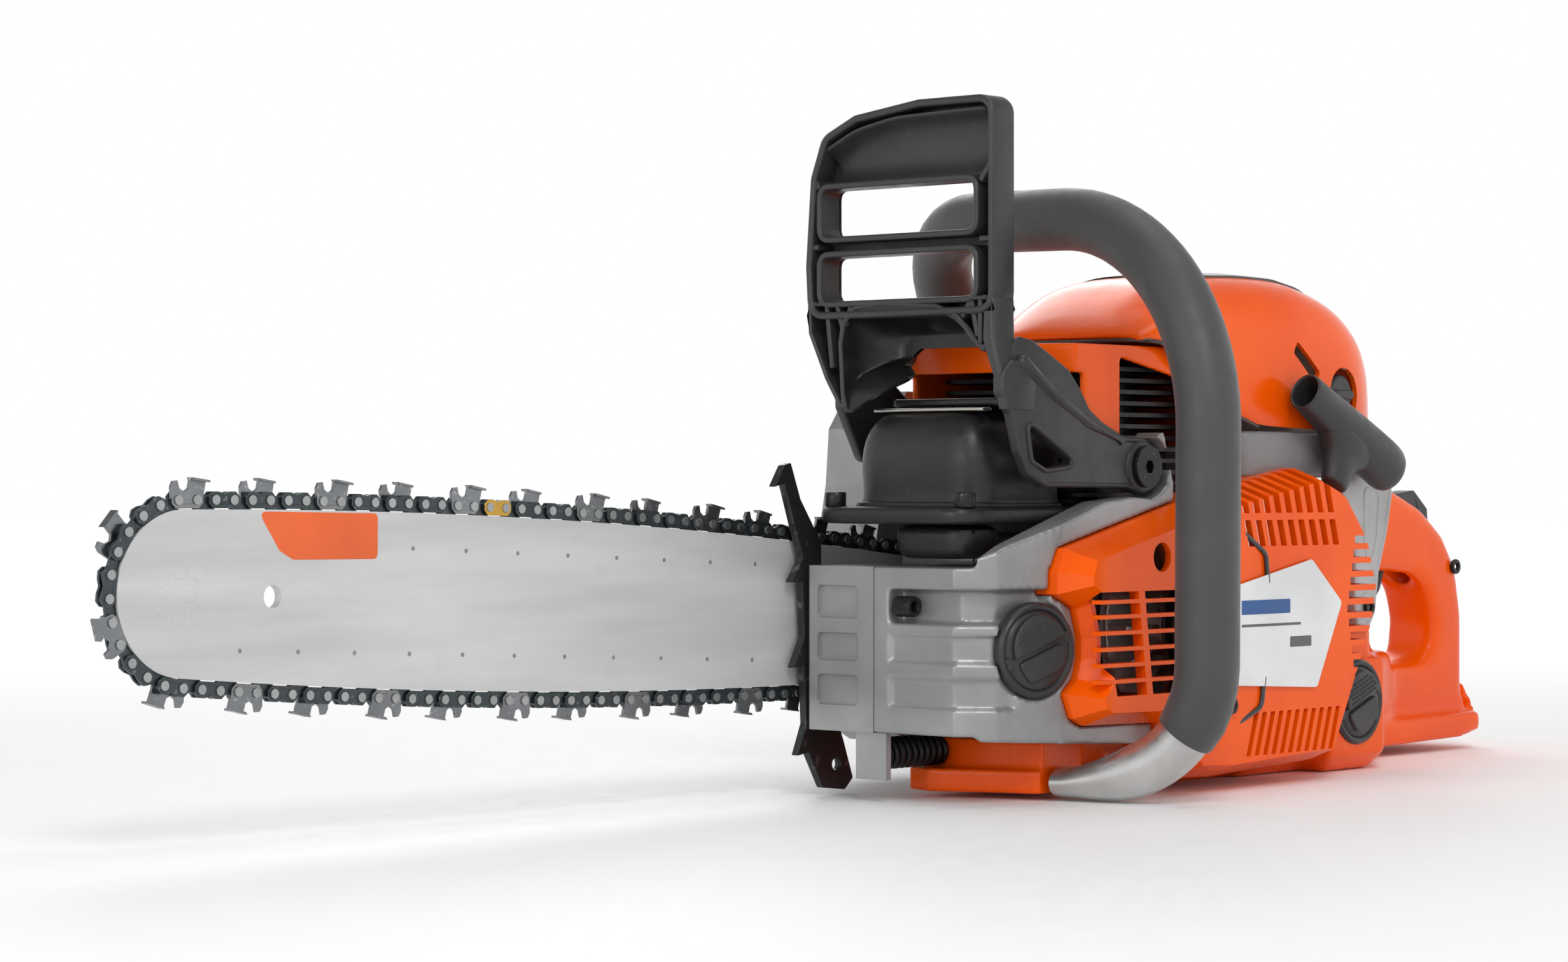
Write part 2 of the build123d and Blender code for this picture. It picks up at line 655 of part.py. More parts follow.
# ---------------------------------------------------------------- starter side
SHOULDER = -64.0
WALL = 3.0
BEVEL = 22
with BuildPart() as starter_cover:
    with BuildSketch(side(COVER_IN)):
        outline(COVER_OUTLINE)
        offset(amount=-0.4, mode=Mode.REPLACE)
    extrude(amount=COVER_IN - SHOULDER)
    with BuildSketch(side(SHOULDER)):
        outline(COVER_OUTLINE)
        offset(amount=-0.4, mode=Mode.REPLACE)
    extrude(amount=SHOULDER - COVER_OUT, taper=BEVEL)
    with BuildSketch(side(COVER_IN)):
        outline(COVER_OUTLINE)
        offset(amount=-WALL, mode=Mode.REPLACE)
    extrude(amount=COVER_IN - SHOULDER, mode=Mode.SUBTRACT)
    with BuildSketch(side(SHOULDER)):
        outline(COVER_OUTLINE)
        offset(amount=-WALL, mode=Mode.REPLACE)
    extrude(amount=SHOULDER - COVER_OUT - WALL, taper=BEVEL, mode=Mode.SUBTRACT)
    # post that the starter pulley turns on
    with BuildSketch(side(-65)):
        with Locations((0, CRANK_Z)):
            Circle(5)
    extrude(amount=11)
    # front grille: a window crossed by louvres and one leaning bar
    with BuildSketch(side(-70)):
        outline([(-81, 85), (-70.5, 43), (-24, 43), (-24, 85)])
    extrude(amount=12, mode=Mode.SUBTRACT)
    with BuildSketch(side(-73)):
        for z in (49, 55.5, 62, 68.5, 75, 81):
            with Locations((-52, z)):
                Rectangle(58, 1.6)
        outline([(-56, 86), (-52, 86), (-46, 42), (-50, 42)])
    extrude(amount=5)
    # round hole above it
    with BuildSketch(side(-70)):
        with Locations((-39.8, 98.5)):
            Circle(6)
    extrude(amount=12, mode=Mode.SUBTRACT)
    # slots in the sloping top, the rear and the foot
    for k in range(9):
        x = 18 + 8 * k
        with BuildSketch(side(-60)):
            outline([(x, 116), (x + 4.5, 116), (x - 2.5, 140), (x - 7, 140)])
            outline([(x + 4, 102), (x + 8.5, 102), (x + 5.2, 113), (x + 0.7, 113)])
        extrude(amount=20, mode=Mode.SUBTRACT)
    for k in range(12):
        with BuildSketch(side(-58)):
            with Locations((122, 38 + 6 * k)):
                Rectangle(50 - 2.4 * abs(k - 6), 3.4)
        extrude(amount=22, mode=Mode.SUBTRACT)
    for k in range(11):
        x = 20 + 6.2 * k
        with BuildSketch(side(-68)):
            outline([(x, 14), (x + 3.2, 14), (x + 9.2, 32), (x + 6, 32)])
        extrude(amount=14, mode=Mode.SUBTRACT)
finish(starter_cover, "starter_cover")

with BuildPart() as label_plate:
    with BuildSketch(side(COVER_OUT)):
        outline([(-16, 81), (67, 96.1), (90.7, 77.2), (70.9, 40.8), (-16, 45.2)])
    extrude(amount=1.4)
finish(label_plate, "label_plate")

with BuildPart() as recoil_spring:
    with BuildSketch(side(-73.2)):
        with Locations((0, CRANK_Z)):
            Circle(23)
            Circle(9, mode=Mode.SUBTRACT)
    extrude(amount=1.8)
finish(recoil_spring, "recoil_spring")

PULLEY_R = 24.0
with BuildPart() as starter_pulley:
    for radius, y, depth in ((PULLEY_R, -66, 1.5), (PULLEY_R - 5, -67.5, 4), (PULLEY_R, -71.5, 1.4)):
        with BuildSketch(side(y)):
            with Locations((0, CRANK_Z)):
                Circle(radius)
                Circle(5.05, mode=Mode.SUBTRACT)
        extrude(amount=depth)
finish(starter_pulley, "starter_pulley")

GRIP_Y = -68.0
grip_start, grip_end = Vector(77, GRIP_Y, 167), Vector(153, GRIP_Y, 129)
grip_axis = (grip_end - grip_start).normalized()
pull_axis = Vector(-grip_axis.Z, 0, grip_axis.X)
grip_centre = (grip_start + grip_end) * 0.5
with BuildPart() as starter_grip:
    with BuildSketch(Plane(origin=grip_start, x_dir=(0, 1, 0), z_dir=grip_axis)):
        SlotOverall(22, 20)
    extrude(amount=(grip_end - grip_start).length)
    with BuildSketch(Plane(origin=grip_start, x_dir=(0, 1, 0), z_dir=grip_axis)):
        SlotOverall(16, 14)
    extrude(amount=60, mode=Mode.SUBTRACT)
    with BuildSketch(Plane(origin=grip_centre - pull_axis * 8, x_dir=(0, 1, 0), z_dir=-pull_axis)):
        RectangleRounded(10, 14, 4)
    extrude(amount=16.5)
finish(starter_grip, "starter_grip")

# ---------------------------------------------------------------- muffler
with BuildPart() as muffler:
    with BuildSketch(Plane.XY.offset(112)):
        with Locations((-91, -6.5)):
            RectangleRounded(80, 82, 8)
    extrude(amount=7)
    with BuildSketch(Plane.XY.offset(119)):
        with Locations((-84, -8)):
            RectangleRounded(62, 64, 10)
    extrude(amount=39, taper=3)
    with BuildSketch(Plane.XY.offset(112)):
        with Locations((-107, -20)):
            RectangleRounded(30, 38, 6)
    extrude(amount=-14, taper=8)
    # neck that meets the cylinder's exhaust flange
    with BuildSketch(Plane.YZ.offset(-60)):
        with Locations((0, 142)):
            RectangleRounded(36, 22, 4)
    extrude(amount=14)
    with BuildSketch(Plane.XY.offset(115)):
        with Locations((-84, -8)):
            RectangleRounded(56, 58, 8)
    extrude(amount=40, taper=3, mode=Mode.SUBTRACT)
    with BuildSketch(Plane.YZ.offset(-64)):
        with Locations((0, 142)):
            RectangleRounded(22, 12, 3)
    extrude(amount=20, mode=Mode.SUBTRACT)
finish(muffler, "muffler")

with BuildPart() as muffler_shield:
    with BuildSketch(Plane.XY.offset(158)):
        with Locations((-86, -10)):
            RectangleRounded(50, 58, 6)
    extrude(amount=1.6)
finish(muffler_shield, "muffler_shield")

with BuildPart() as muffler_screws:
    with BuildSketch(Plane.XY.offset(119)):
        with Locations((-122, 27), (-122, -41)):
            Circle(4.4)
            RegularPolygon(2.2, 6, mode=Mode.SUBTRACT)
    extrude(amount=6)
finish(muffler_screws, "muffler_screws")

# ---------------------------------------------------------------- covers over the engine
SPLIT_Z = 186.0            # joint between the cylinder cover and the filter cover
CYLINDER_PLAN = [(-72, -20), (-58, -47.5), (46.5, -47.5), (46.5, 44), (-60, 44), (-72, 34)]
with BuildPart() as cylinder_cover:
    with BuildSketch(Plane.XY.offset(145)):
        outline(CYLINDER_PLAN)
    extrude(amount=SPLIT_Z - 145)
    with BuildSketch(Plane.XY.offset(144)):
        outline(CYLINDER_PLAN)
        offset(amount=-2.6, mode=Mode.REPLACE)
    extrude(amount=SPLIT_Z - 145.6, mode=Mode.SUBTRACT)
    # open side over the cooling fins, and room over the muffler
    with BuildSketch(side(-40)):
        outline([(-27, 140), (20, 140), (20, 172), (-27, 181)])
    extrude(amount=20, mode=Mode.SUBTRACT)
    with BuildSketch(Plane.XY.offset(140)):
        with Locations((-66, 0)):
            Rectangle(28, 120)
    extrude(amount=34, mode=Mode.SUBTRACT)
    with BuildSketch(Plane.XY.offset(180)):
        with Locations((PLUG_X, 0)):
            Circle(10)
    extrude(amount=20, mode=Mode.SUBTRACT)
finish(cylinder_cover, "cylinder_cover")

FILTER_TOP = [
    (-14, SPLIT_Z + 0.5), (-8, 194), (4, 202), (24, 210), (54, 217), (92, 221), (120, 217),
    (146, 206), (167, 191), (182, 172), (188, 152),
]
FILTER_PLAN = [
    (-14, -28), (4, -48), (48, -56), (140, -56), (172, -44), (190, -16), (192, 10), (182, 36),
    (156, 52), (50, 52), (20, 38), (-14, 4),
]
FILTER_SECTION = [
    (-58, 140), (-57, 178), (-44, 212), (-24, 226), (20, 226), (42, 212), (53, 178), (54, 140),
]
FILTER_RIM = FILTER_TOP + [(48, 152), (48, SPLIT_Z + 0.5)]
with BuildPart() as filter_core:
    with BuildSketch(side(80)):
        outline(FILTER_RIM)
        offset(amount=-2.6, mode=Mode.REPLACE)
    extrude(amount=160)
    with BuildSketch(Plane.XY.offset(140)):
        outline(FILTER_PLAN)
        offset(amount=-2.6, mode=Mode.REPLACE)
    extrude(amount=100, mode=Mode.INTERSECT)
    with BuildSketch(Plane.YZ.offset(-40)):
        outline(FILTER_SECTION)
        offset(amount=-2.6, mode=Mode.REPLACE)
    extrude(amount=260, mode=Mode.INTERSECT)

with BuildPart() as filter_cover:
    with BuildSketch(side(80)):
        outline(FILTER_RIM)
    extrude(amount=160)
    with BuildSketch(Plane.XY.offset(140)):
        outline(FILTER_PLAN)
    extrude(amount=100, mode=Mode.INTERSECT)
    with BuildSketch(Plane.YZ.offset(-40)):
        outline(FILTER_SECTION)
    extrude(amount=260, mode=Mode.INTERSECT)
    add(filter_core.part, mode=Mode.SUBTRACT)
    # room for the spark plug and its cap
    with BuildSketch(Plane.XY.offset(180)):
        with Locations((PLUG_X, 0)):
            Circle(10)
    extrude(amount=17.5, mode=Mode.SUBTRACT)
    with BuildSketch(Plane.XY.offset(145)):
        with Locations((124, 0)):
            Rectangle(146, 94)
    extrude(amount=12, mode=Mode.SUBTRACT)
    # round recess of the knob
    with BuildSketch(side(-40)):
        with Locations((129, 168)):
            Circle(10.5)
    extrude(amount=30, mode=Mode.SUBTRACT)
finish(filter_cover, "filter_cover")

with BuildPart() as filter_cover_trim:
    with BuildSketch(side(13)):
        outline([
            (24, 210.1), (54, 217.1), (92, 221.1), (120, 217.1), (146, 206.1), (146, 207.8), (120, 218.8),
            (92, 222.8), (54, 218.6), (24, 211.6),
        ])
    extrude(amount=26)
finish(filter_cover_trim, "filter_cover_trim")

with BuildPart() as cover_knob:
    with BuildSketch(side(-44)):
        with Locations((129, 168)):
            Circle(9)
    extrude(amount=10)
    with BuildSketch(side(-54)):
        with Locations((129, 168)):
            Rectangle(14, 3.4)
    extrude(amount=3)
finish(cover_knob, "cover_knob")

HOUSING_PLAN = [(52, -56), (150, -56), (172, -40), (172, 40), (158, 54), (52, 54)]
with BuildPart() as carburettor_housing:
    with BuildSketch(Plane.XY.offset(137)):
        outline(HOUSING_PLAN)
    extrude(amount=13.5)
    with BuildSketch(Plane.XY.offset(136)):
        outline(HOUSING_PLAN)
        offset(amount=-3, mode=Mode.REPLACE)
    extrude(amount=11, mode=Mode.SUBTRACT)
    # way in for the air from the filter, and for the intake boot
    with BuildSketch(Plane.XY.offset(140)):
        with Locations((124, 0)):
            Circle(12)
    extrude(amount=20, mode=Mode.SUBTRACT)
    with BuildSketch(Plane.YZ.offset(50)):
        with Locations((0, 134)):
            Rectangle(36, 26)
    extrude(amount=8, mode=Mode.SUBTRACT)
    # arm that reaches down to the tank
    with BuildSketch(side(-50)):
        outline([
            (124, 139), (168, 139), (168, 122), (164, 106), (157, 88), (154, 70), (148, 62), (140, 64),
            (137, 76), (138, 96), (130, 112),
        ])
    extrude(amount=6)
finish(carburettor_housing, "carburettor_housing")

with BuildPart() as air_filter:
    with BuildSketch(Plane.XY.offset(151)):
        with Locations((124, 0)):
            RectangleRounded(76, 70, 12)
    extrude(amount=42, taper=4)
    with BuildSketch(Plane.XY.offset(151)):
        with Locations((124, 0)):
            RectangleRounded(56, 50, 10)
    extrude(amount=36, taper=4, mode=Mode.SUBTRACT)
finish(air_filter, "air_filter")

with BuildPart() as intake_boot:
    with BuildSketch(Plane.YZ.offset(46)):
        with Locations((0, 131)):
            Circle(14)
            Circle(10, mode=Mode.SUBTRACT)
    extrude(amount=15)
finish(intake_boot, "intake_boot")

with BuildPart() as carburettor:
    with BuildSketch(Plane.YZ.offset(61)):
        with Locations((0, 129)):
            RectangleRounded(34, 32, 4)
    extrude(amount=36)
    with BuildSketch(Plane.YZ.offset(61)):
        with Locations((0, 131)):
            Circle(9)
    extrude(amount=36, mode=Mode.SUBTRACT)
finish(carburettor, "carburettor")

# ---------------------------------------------------------------- tank and handles
TRIGGER_PIN, LOCKOUT_PIN = (238, 94), (276, 107)
TANK_PLAN = [
    (66, -44), (115, -44), (115, -57), (160, -57), (172, -46), (208, -24), (232, -16), (232, 34),
    (208, 57), (66, 57),
]
with BuildPart() as tank_handle:
    with BuildSketch(Plane.XY.offset(8)):
        outline(TANK_PLAN)
    extrude(amount=42)
    # rounded lower edge
    with BuildSketch(Plane.XY.offset(8)):
        outline(TANK_PLAN)
    extrude(amount=-8, taper=45)
    with BuildSketch(Plane.XY.offset(50)):
        outline([
            (66, -44), (124, -44), (124, -50), (158, -50), (170, -40), (196, -26), (196, 30), (186, 50),
            (66, 50),
        ])
    extrude(amount=12)
    # fuel space and its filler
    with BuildSketch(Plane.XY.offset(5)):
        outline([(71, -39), (160, -39), (204, -17), (222, -11), (222, 28), (204, 50), (71, 50)])
    extrude(amount=40, mode=Mode.SUBTRACT)
    with BuildSketch(side(-30)):
        with Locations((137, 31)):
            Circle(14.3)
    extrude(amount=40, mode=Mode.SUBTRACT)
    # rear handle: a closed loop round the hand opening
    with BuildSketch(side(HANDLE_W / 2)):
        outline([
            (174, 60), (174, 128), (196, 128), (236, 126), (262, 117), (282, 104), (294, 88), (299, 66),
            (299, 20), (190, 10),
        ])
        Polygon(
            (198, 44), (198, 80), (206, 87), (254, 85), (267, 77), (272, 62), (270, 48), (260, 42),
            (204, 42), align=None, mode=Mode.SUBTRACT,
        )
    extrude(amount=HANDLE_W)
    # right-hand guard under it
    with BuildSketch(side(44)):
        outline([(186, 4), (286, 6), (312, 11), (318, 34), (314, 36), (305, 18), (190, 16)])
    extrude(amount=66)
    with BuildSketch(Plane.XY):
        outline([
            (400, -60), (276, -60), (276, -22), (300, -22), (312, -8), (318, 10), (318, 30), (302, 44),
            (400, 44),
        ])
    extrude(amount=60, mode=Mode.SUBTRACT)
    # skid plate below the crankcase
    with BuildSketch(Plane.XY):
        with Locations((16, 0)):
            Rectangle(134, 60)
    extrude(amount=5)
    # slot for the trigger and the lockout
    with BuildSketch(side(5.2)):
        outline([(202, 80), (286, 80), (286, 104), (283, 130), (202, 130)])
    extrude(amount=10.4, mode=Mode.SUBTRACT)
    with BuildSketch(side(8)):
        with Locations(TRIGGER_PIN, LOCKOUT_PIN):
            Circle(2)
    extrude(amount=16, mode=Mode.SUBTRACT)
finish(tank_handle, "tank_handle")

with BuildPart() as front_bracket:
    # foot that reaches under the spring, and the body above it
    with BuildSketch(Plane.XY.offset(2.5)):
        outline([(-95, 10), (-98, -2), (-84, -34), (-80, -46), (-51, -46), (-51, 10)])
    extrude(amount=9.5)
    with BuildSketch(Plane.XY.offset(12)):
        outline([(-85, 10), (-85, -8), (-80, -34), (-78, -46), (-51, -46), (-51, 10)])
    extrude(amount=12)
finish(front_bracket, "front_bracket")

TUBE_PATH = [(-69, -48.3, TUBE_R), (-57, -112, TUBE_R), (-55, -112, 236), (-22, 64, 241), (30, 64, 152)]
FOOT_BEND = 45
with BuildPart() as front_handle_tube:
    with BuildLine() as tube_route:
        FilletPolyline(*TUBE_PATH, radius=[FOOT_BEND, 88, 40])
    with BuildSketch(Plane(origin=tube_route.line @ 0, z_dir=tube_route.line % 0)):
        Circle(TUBE_R)
        Circle(TUBE_R - 2.5, mode=Mode.SUBTRACT)
    sweep(path=tube_route.wire())
finish(front_handle_tube, "front_handle_tube")

# the grip starts part of the way round the tube's lower bend
GRIP_PATH = [(-58.7, -102.9, 28.4), (-56.8, -112, 40.8), (-55, -112, 236), (-22, 64, 241), (2, 64, 200)]
with BuildPart() as front_handle_grip:
    with BuildLine() as grip_route:
        FilletPolyline(*GRIP_PATH, radius=[FOOT_BEND, 88, 40])
    with BuildSketch(Plane(origin=grip_route.line @ 0, z_dir=grip_route.line % 0)):
        Circle(GRIP_R)
        Circle(TUBE_R, mode=Mode.SUBTRACT)
    sweep(path=grip_route.wire())
finish(front_handle_grip, "front_handle_grip")

SPRING_FROM, SPRING_TO, SPRING_Z, COILS = -126.0, -85.0, 19.2, 10
with BuildPart() as av_spring:
    with BuildSketch(Plane.XZ.offset(-2)):
        with BuildLine():
            Polyline((SPRING_FROM, SPRING_Z + 4), (SPRING_FROM, SPRING_Z + 5.4))
            pitch = (SPRING_TO - SPRING_FROM) / COILS
            for k in range(COILS):
                x = SPRING_FROM + pitch * k
                ThreePointArc((x, SPRING_Z + 5.4), (x + pitch / 2, SPRING_Z + 6.7), (x + pitch, SPRING_Z + 5.4))
            Polyline((SPRING_TO, SPRING_Z + 5.4), (SPRING_TO, SPRING_Z + 4), (SPRING_FROM, SPRING_Z + 4))
        make_face()
    revolve(axis=Axis((0, 2, SPRING_Z), (1, 0, 0)))
finish(av_spring, "av_spring")

# ---------------------------------------------------------------- controls
with BuildPart() as throttle_trigger:
    with BuildSketch(side(4.8)):
        outline([
            (232, 99), (243, 97), (243, 90), (238, 78), (226, 66), (214, 62), (211, 65), (219, 76),
            (220, 86),
        ])
        with Locations(TRIGGER_PIN):
            Circle(2.05, mode=Mode.SUBTRACT)
    extrude(amount=9.6)
finish(throttle_trigger, "throttle_trigger")

with BuildPart() as throttle_lockout:
    with BuildSketch(side(4.8)):
        outline([(240, 116), (250, 123), (268, 125), (280, 116), (281, 104), (272, 103), (246, 110)])
        with Locations(LOCKOUT_PIN):
            Circle(2.05, mode=Mode.SUBTRACT)
    extrude(amount=9.6)
finish(throttle_lockout, "throttle_lockout")

with BuildPart() as control_pins:
    with BuildSketch(side(8)):
        with Locations(TRIGGER_PIN, LOCKOUT_PIN):
            Circle(2)
    extrude(amount=16)
finish(control_pins, "control_pins")

with BuildPart() as stop_switch:
    with BuildSketch(side(-16)):
        outline([(176, 130), (180, 128.4), (192, 128.4), (194, 131), (190, 134), (179, 135)])
    extrude(amount=8)
finish(stop_switch, "stop_switch")

with BuildPart() as oil_cap:
    with BuildSketch(oil_cap_plane.offset(-3)):
        Circle(CAP_R)
    extrude(amount=6)
    with BuildSketch(oil_cap_plane.offset(-3)):
        Circle(14)
    extrude(amount=-10)
finish(oil_cap, "oil_cap")

FUEL_CAP_AT = (137.0, -57.0, 31.0)
with BuildPart() as fuel_cap:
    with BuildSketch(side(FUEL_CAP_AT[1] - FIT)):
        with Locations((FUEL_CAP_AT[0], FUEL_CAP_AT[2])):
            Circle(CAP_R)
    extrude(amount=5)
    with BuildSketch(side(FUEL_CAP_AT[1] + 12)):
        with Locations((FUEL_CAP_AT[0], FUEL_CAP_AT[2])):
            Circle(14)
    extrude(amount=13)
finish(fuel_cap, "fuel_cap")

# ---------------------------------------------------------------- front hand guard and chain brake lever
with BuildPart() as cover_screws:
    with BuildSketch(side(COVER_OUT)):
        with Locations((8, 36), (8, 96)):
            Circle(3.6)
            RegularPolygon(1.9, 6, mode=Mode.SUBTRACT)
    extrude(amount=2)
    # one on the grey arm behind the starter cover, one on the rear handle
    with BuildSketch(side(-56)):
        with Locations((147, 73)):
            Circle(3.6)
            RegularPolygon(1.9, 6, mode=Mode.SUBTRACT)
    extrude(amount=2)
    with BuildSketch(side(-HANDLE_W / 2)):
        with Locations((289, 88)):
            Circle(3.6)
            RegularPolygon(1.9, 6, mode=Mode.SUBTRACT)
    extrude(amount=2)
finish(cover_screws, "cover_screws")

GUARD_FRONT, GUARD_BACK = -118.0, -103.5
GUARD_FACE = [
    (-52, 190), (-52, 279), (-47, 283.5), (-12.7, 283.6), (21, 279.4), (38.4, 272), (44.7, 254.6),
    (47.5, 218), (45, 191.5),
]
with BuildPart() as hand_guard:
    with BuildSketch(Plane.YZ.offset(GUARD_FRONT)):
        outline(GUARD_FACE)
        for low, high in ((230, 249.5), (203, 221.5)):
            with Locations((-1.2, (low + high) / 2)):
                RectangleRounded(80.5, high - low, 3, mode=Mode.SUBTRACT)
    extrude(amount=GUARD_BACK - GUARD_FRONT)
    # hollows open to the front: head and side channels
    with BuildSketch(Plane.YZ.offset(GUARD_FRONT)):
        outline([(-44, 253), (-44, 279), (-12, 279), (20, 275), (33, 269), (40, 253)])
        outline([(-49, 200), (-49, 276), (-46, 276), (-46, 200)])
        outline([(41, 200), (40, 250), (42, 250), (44.5, 218), (43, 200)])
    extrude(amount=12, mode=Mode.SUBTRACT)
    # lower shroud: it passes in front of the muffler and has a window over it
    with BuildSketch(Plane.YZ.offset(GUARD_FRONT - 6)):
        outline([(-52, 203), (40, 203), (39.4, 198), (33, 175), (22.8, 160), (-46, 160), (-52, 186)])
        with Locations((-22, 183)):
            RectangleRounded(36, 12, 4, mode=Mode.SUBTRACT)
    extrude(amount=6)
    # left arm with its eye
    with BuildSketch(side(-51.8)):
        outline([
            (-123, 196), (-104, 196), (-65, 169), (-30, 148), (-24, 146.3), (-15, 140), (-15, 130),
            (-24, 124.5), (-35, 128), (-92, 126.6), (-107, 134), (-117, 160), (-123, 160),
        ])
        with Locations(PIVOT):
            Circle(11)
        Polygon(
            (-99, 147), (-92, 134), (-70, 137), (-97, 150), align=None, mode=Mode.SUBTRACT
        )
        with Locations(PIVOT):
            Circle(4.05, mode=Mode.SUBTRACT)
    extrude(amount=6)
    # right arm to the brake in the clutch cover
    with BuildSketch(side(49.4)):
        outline([
            (-112, 214), (-104, 214), (-65, 172), (-30, 148), (-15, 140), (-15, 130), (-24, 124.3),
            (-35, 128), (-84, 138), (-97, 160), (-98, 185), (-112, 203),
        ])
        with Locations(PIVOT):
            Circle(4.05, mode=Mode.SUBTRACT)
    extrude(amount=5)
finish(hand_guard, "hand_guard")

with BuildPart() as guard_bolts:
    with BuildSketch(side(-46)):
        with Locations(PIVOT):
            Circle(4)
    extrude(amount=12.1)
    with BuildSketch(side(-58.1)):
        with Locations(PIVOT):
            Circle(8.7)
            RegularPolygon(3, 6, mode=Mode.SUBTRACT)
    extrude(amount=2.4)
    with BuildSketch(side(54)):
        with Locations(PIVOT):
            Circle(4)
    extrude(amount=8)
finish(guard_bolts, "guard_bolts")
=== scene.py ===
"""Looks for the chainsaw: materials, moulded shapes, studio light and camera round the CAD frame."""

import json
import math

import bmesh
import bpy
from mathutils import Matrix, Vector

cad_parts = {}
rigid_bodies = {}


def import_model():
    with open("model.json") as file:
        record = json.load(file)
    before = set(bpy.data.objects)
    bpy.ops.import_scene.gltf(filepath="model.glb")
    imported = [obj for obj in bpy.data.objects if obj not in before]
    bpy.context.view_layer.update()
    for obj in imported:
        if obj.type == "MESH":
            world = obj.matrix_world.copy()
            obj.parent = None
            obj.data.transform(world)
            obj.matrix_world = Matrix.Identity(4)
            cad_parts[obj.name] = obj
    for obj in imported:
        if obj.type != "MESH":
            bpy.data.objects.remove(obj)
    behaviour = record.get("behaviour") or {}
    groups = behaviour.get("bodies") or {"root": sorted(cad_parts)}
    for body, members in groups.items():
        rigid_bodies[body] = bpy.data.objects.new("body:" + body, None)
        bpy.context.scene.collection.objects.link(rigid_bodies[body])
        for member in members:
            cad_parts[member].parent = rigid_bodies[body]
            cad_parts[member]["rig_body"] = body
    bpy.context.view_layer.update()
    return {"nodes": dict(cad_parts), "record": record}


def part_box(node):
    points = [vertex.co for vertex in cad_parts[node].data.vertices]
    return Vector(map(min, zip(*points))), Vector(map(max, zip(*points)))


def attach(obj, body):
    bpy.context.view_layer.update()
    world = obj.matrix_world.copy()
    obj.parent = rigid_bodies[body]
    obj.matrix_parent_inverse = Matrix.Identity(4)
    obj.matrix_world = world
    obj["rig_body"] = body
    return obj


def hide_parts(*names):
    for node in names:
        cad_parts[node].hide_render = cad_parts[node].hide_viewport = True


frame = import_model()
nodes = frame["nodes"]
MM = 0.001
WELD_DISTANCE = 1e-5

# ---------------------------------------------------------------- materials


ROUGH_SPREAD = 0.08
COAT_ROUGHNESS = 0.12
DARKER_BLOTCH = 0.82


def shader(name, color, rough, metallic=0.0, shade=None, blotch=18, grain=900, depth=0.00004,
           wear=None, wear_amount=0.0, stretch=(1, 1, 1), coat=0.0, specular=0.5, sheen=0.0):
    """A principled material with blotchy colour, worn spots, uneven roughness and a fine bumpy grain."""
    mat = bpy.data.materials.new(name)
    mat.use_nodes = True
    tree = mat.node_tree
    tree.nodes.clear()
    new, link = tree.nodes.new, tree.links.new
    out = new("ShaderNodeOutputMaterial")
    bsdf = new("ShaderNodeBsdfPrincipled")
    link(bsdf.outputs[0], out.inputs[0])
    bsdf.inputs["Metallic"].default_value = metallic
    bsdf.inputs["Coat Weight"].default_value = coat
    bsdf.inputs["Coat Roughness"].default_value = COAT_ROUGHNESS
    bsdf.inputs["Specular IOR Level"].default_value = specular
    bsdf.inputs["Sheen Weight"].default_value = sheen
    coords = new("ShaderNodeTexCoord")
    mapping = new("ShaderNodeMapping")
    mapping.inputs["Scale"].default_value = stretch
    link(coords.outputs["Object"], mapping.inputs["Vector"])

    def noise(scale, detail=4.0, vector=mapping.outputs[0]):
        node = new("ShaderNodeTexNoise")
        node.inputs["Scale"].default_value = scale
        node.inputs["Detail"].default_value = detail
        link(vector, node.inputs["Vector"])
        return node.outputs["Fac"]

    def spread(value, low, high, to_low, to_high):
        node = new("ShaderNodeMapRange")
        link(value, node.inputs["Value"])
        for key, number in zip(("From Min", "From Max", "To Min", "To Max"), (low, high, to_low, to_high)):
            node.inputs[key].default_value = number
        return node.outputs[0]

    def mix(factor, a, b):
        node = new("ShaderNodeMix")
        node.data_type = "RGBA"
        link(factor, node.inputs["Factor"])
        for socket, value in ((node.inputs["A"], a), (node.inputs["B"], b)):
            if isinstance(value, (tuple, list)):
                socket.default_value = (*value[:3], 1)
            else:
                link(value, socket)
        return node.outputs["Result"]

    dark = shade or tuple(DARKER_BLOTCH * c for c in color)
    base = mix(spread(noise(blotch), 0.35, 0.65, 0, 1), dark, color)
    roughness = spread(noise(blotch * 5), 0.3, 0.7, rough - ROUGH_SPREAD, rough + ROUGH_SPREAD)
    if wear:
        spots = spread(noise(blotch * 9, 8, coords.outputs["Object"]), 0.62, 0.70, 0, wear_amount)
        base = mix(spots, base, wear)
    link(base, bsdf.inputs["Base Color"])
    link(roughness, bsdf.inputs["Roughness"])
    bump = new("ShaderNodeBump")
    bump.inputs["Strength"].default_value = 0.6
    bump.inputs["Distance"].default_value = depth
    link(noise(grain, 2), bump.inputs["Height"])
    link(bump.outputs[0], bsdf.inputs["Normal"])
    return mat


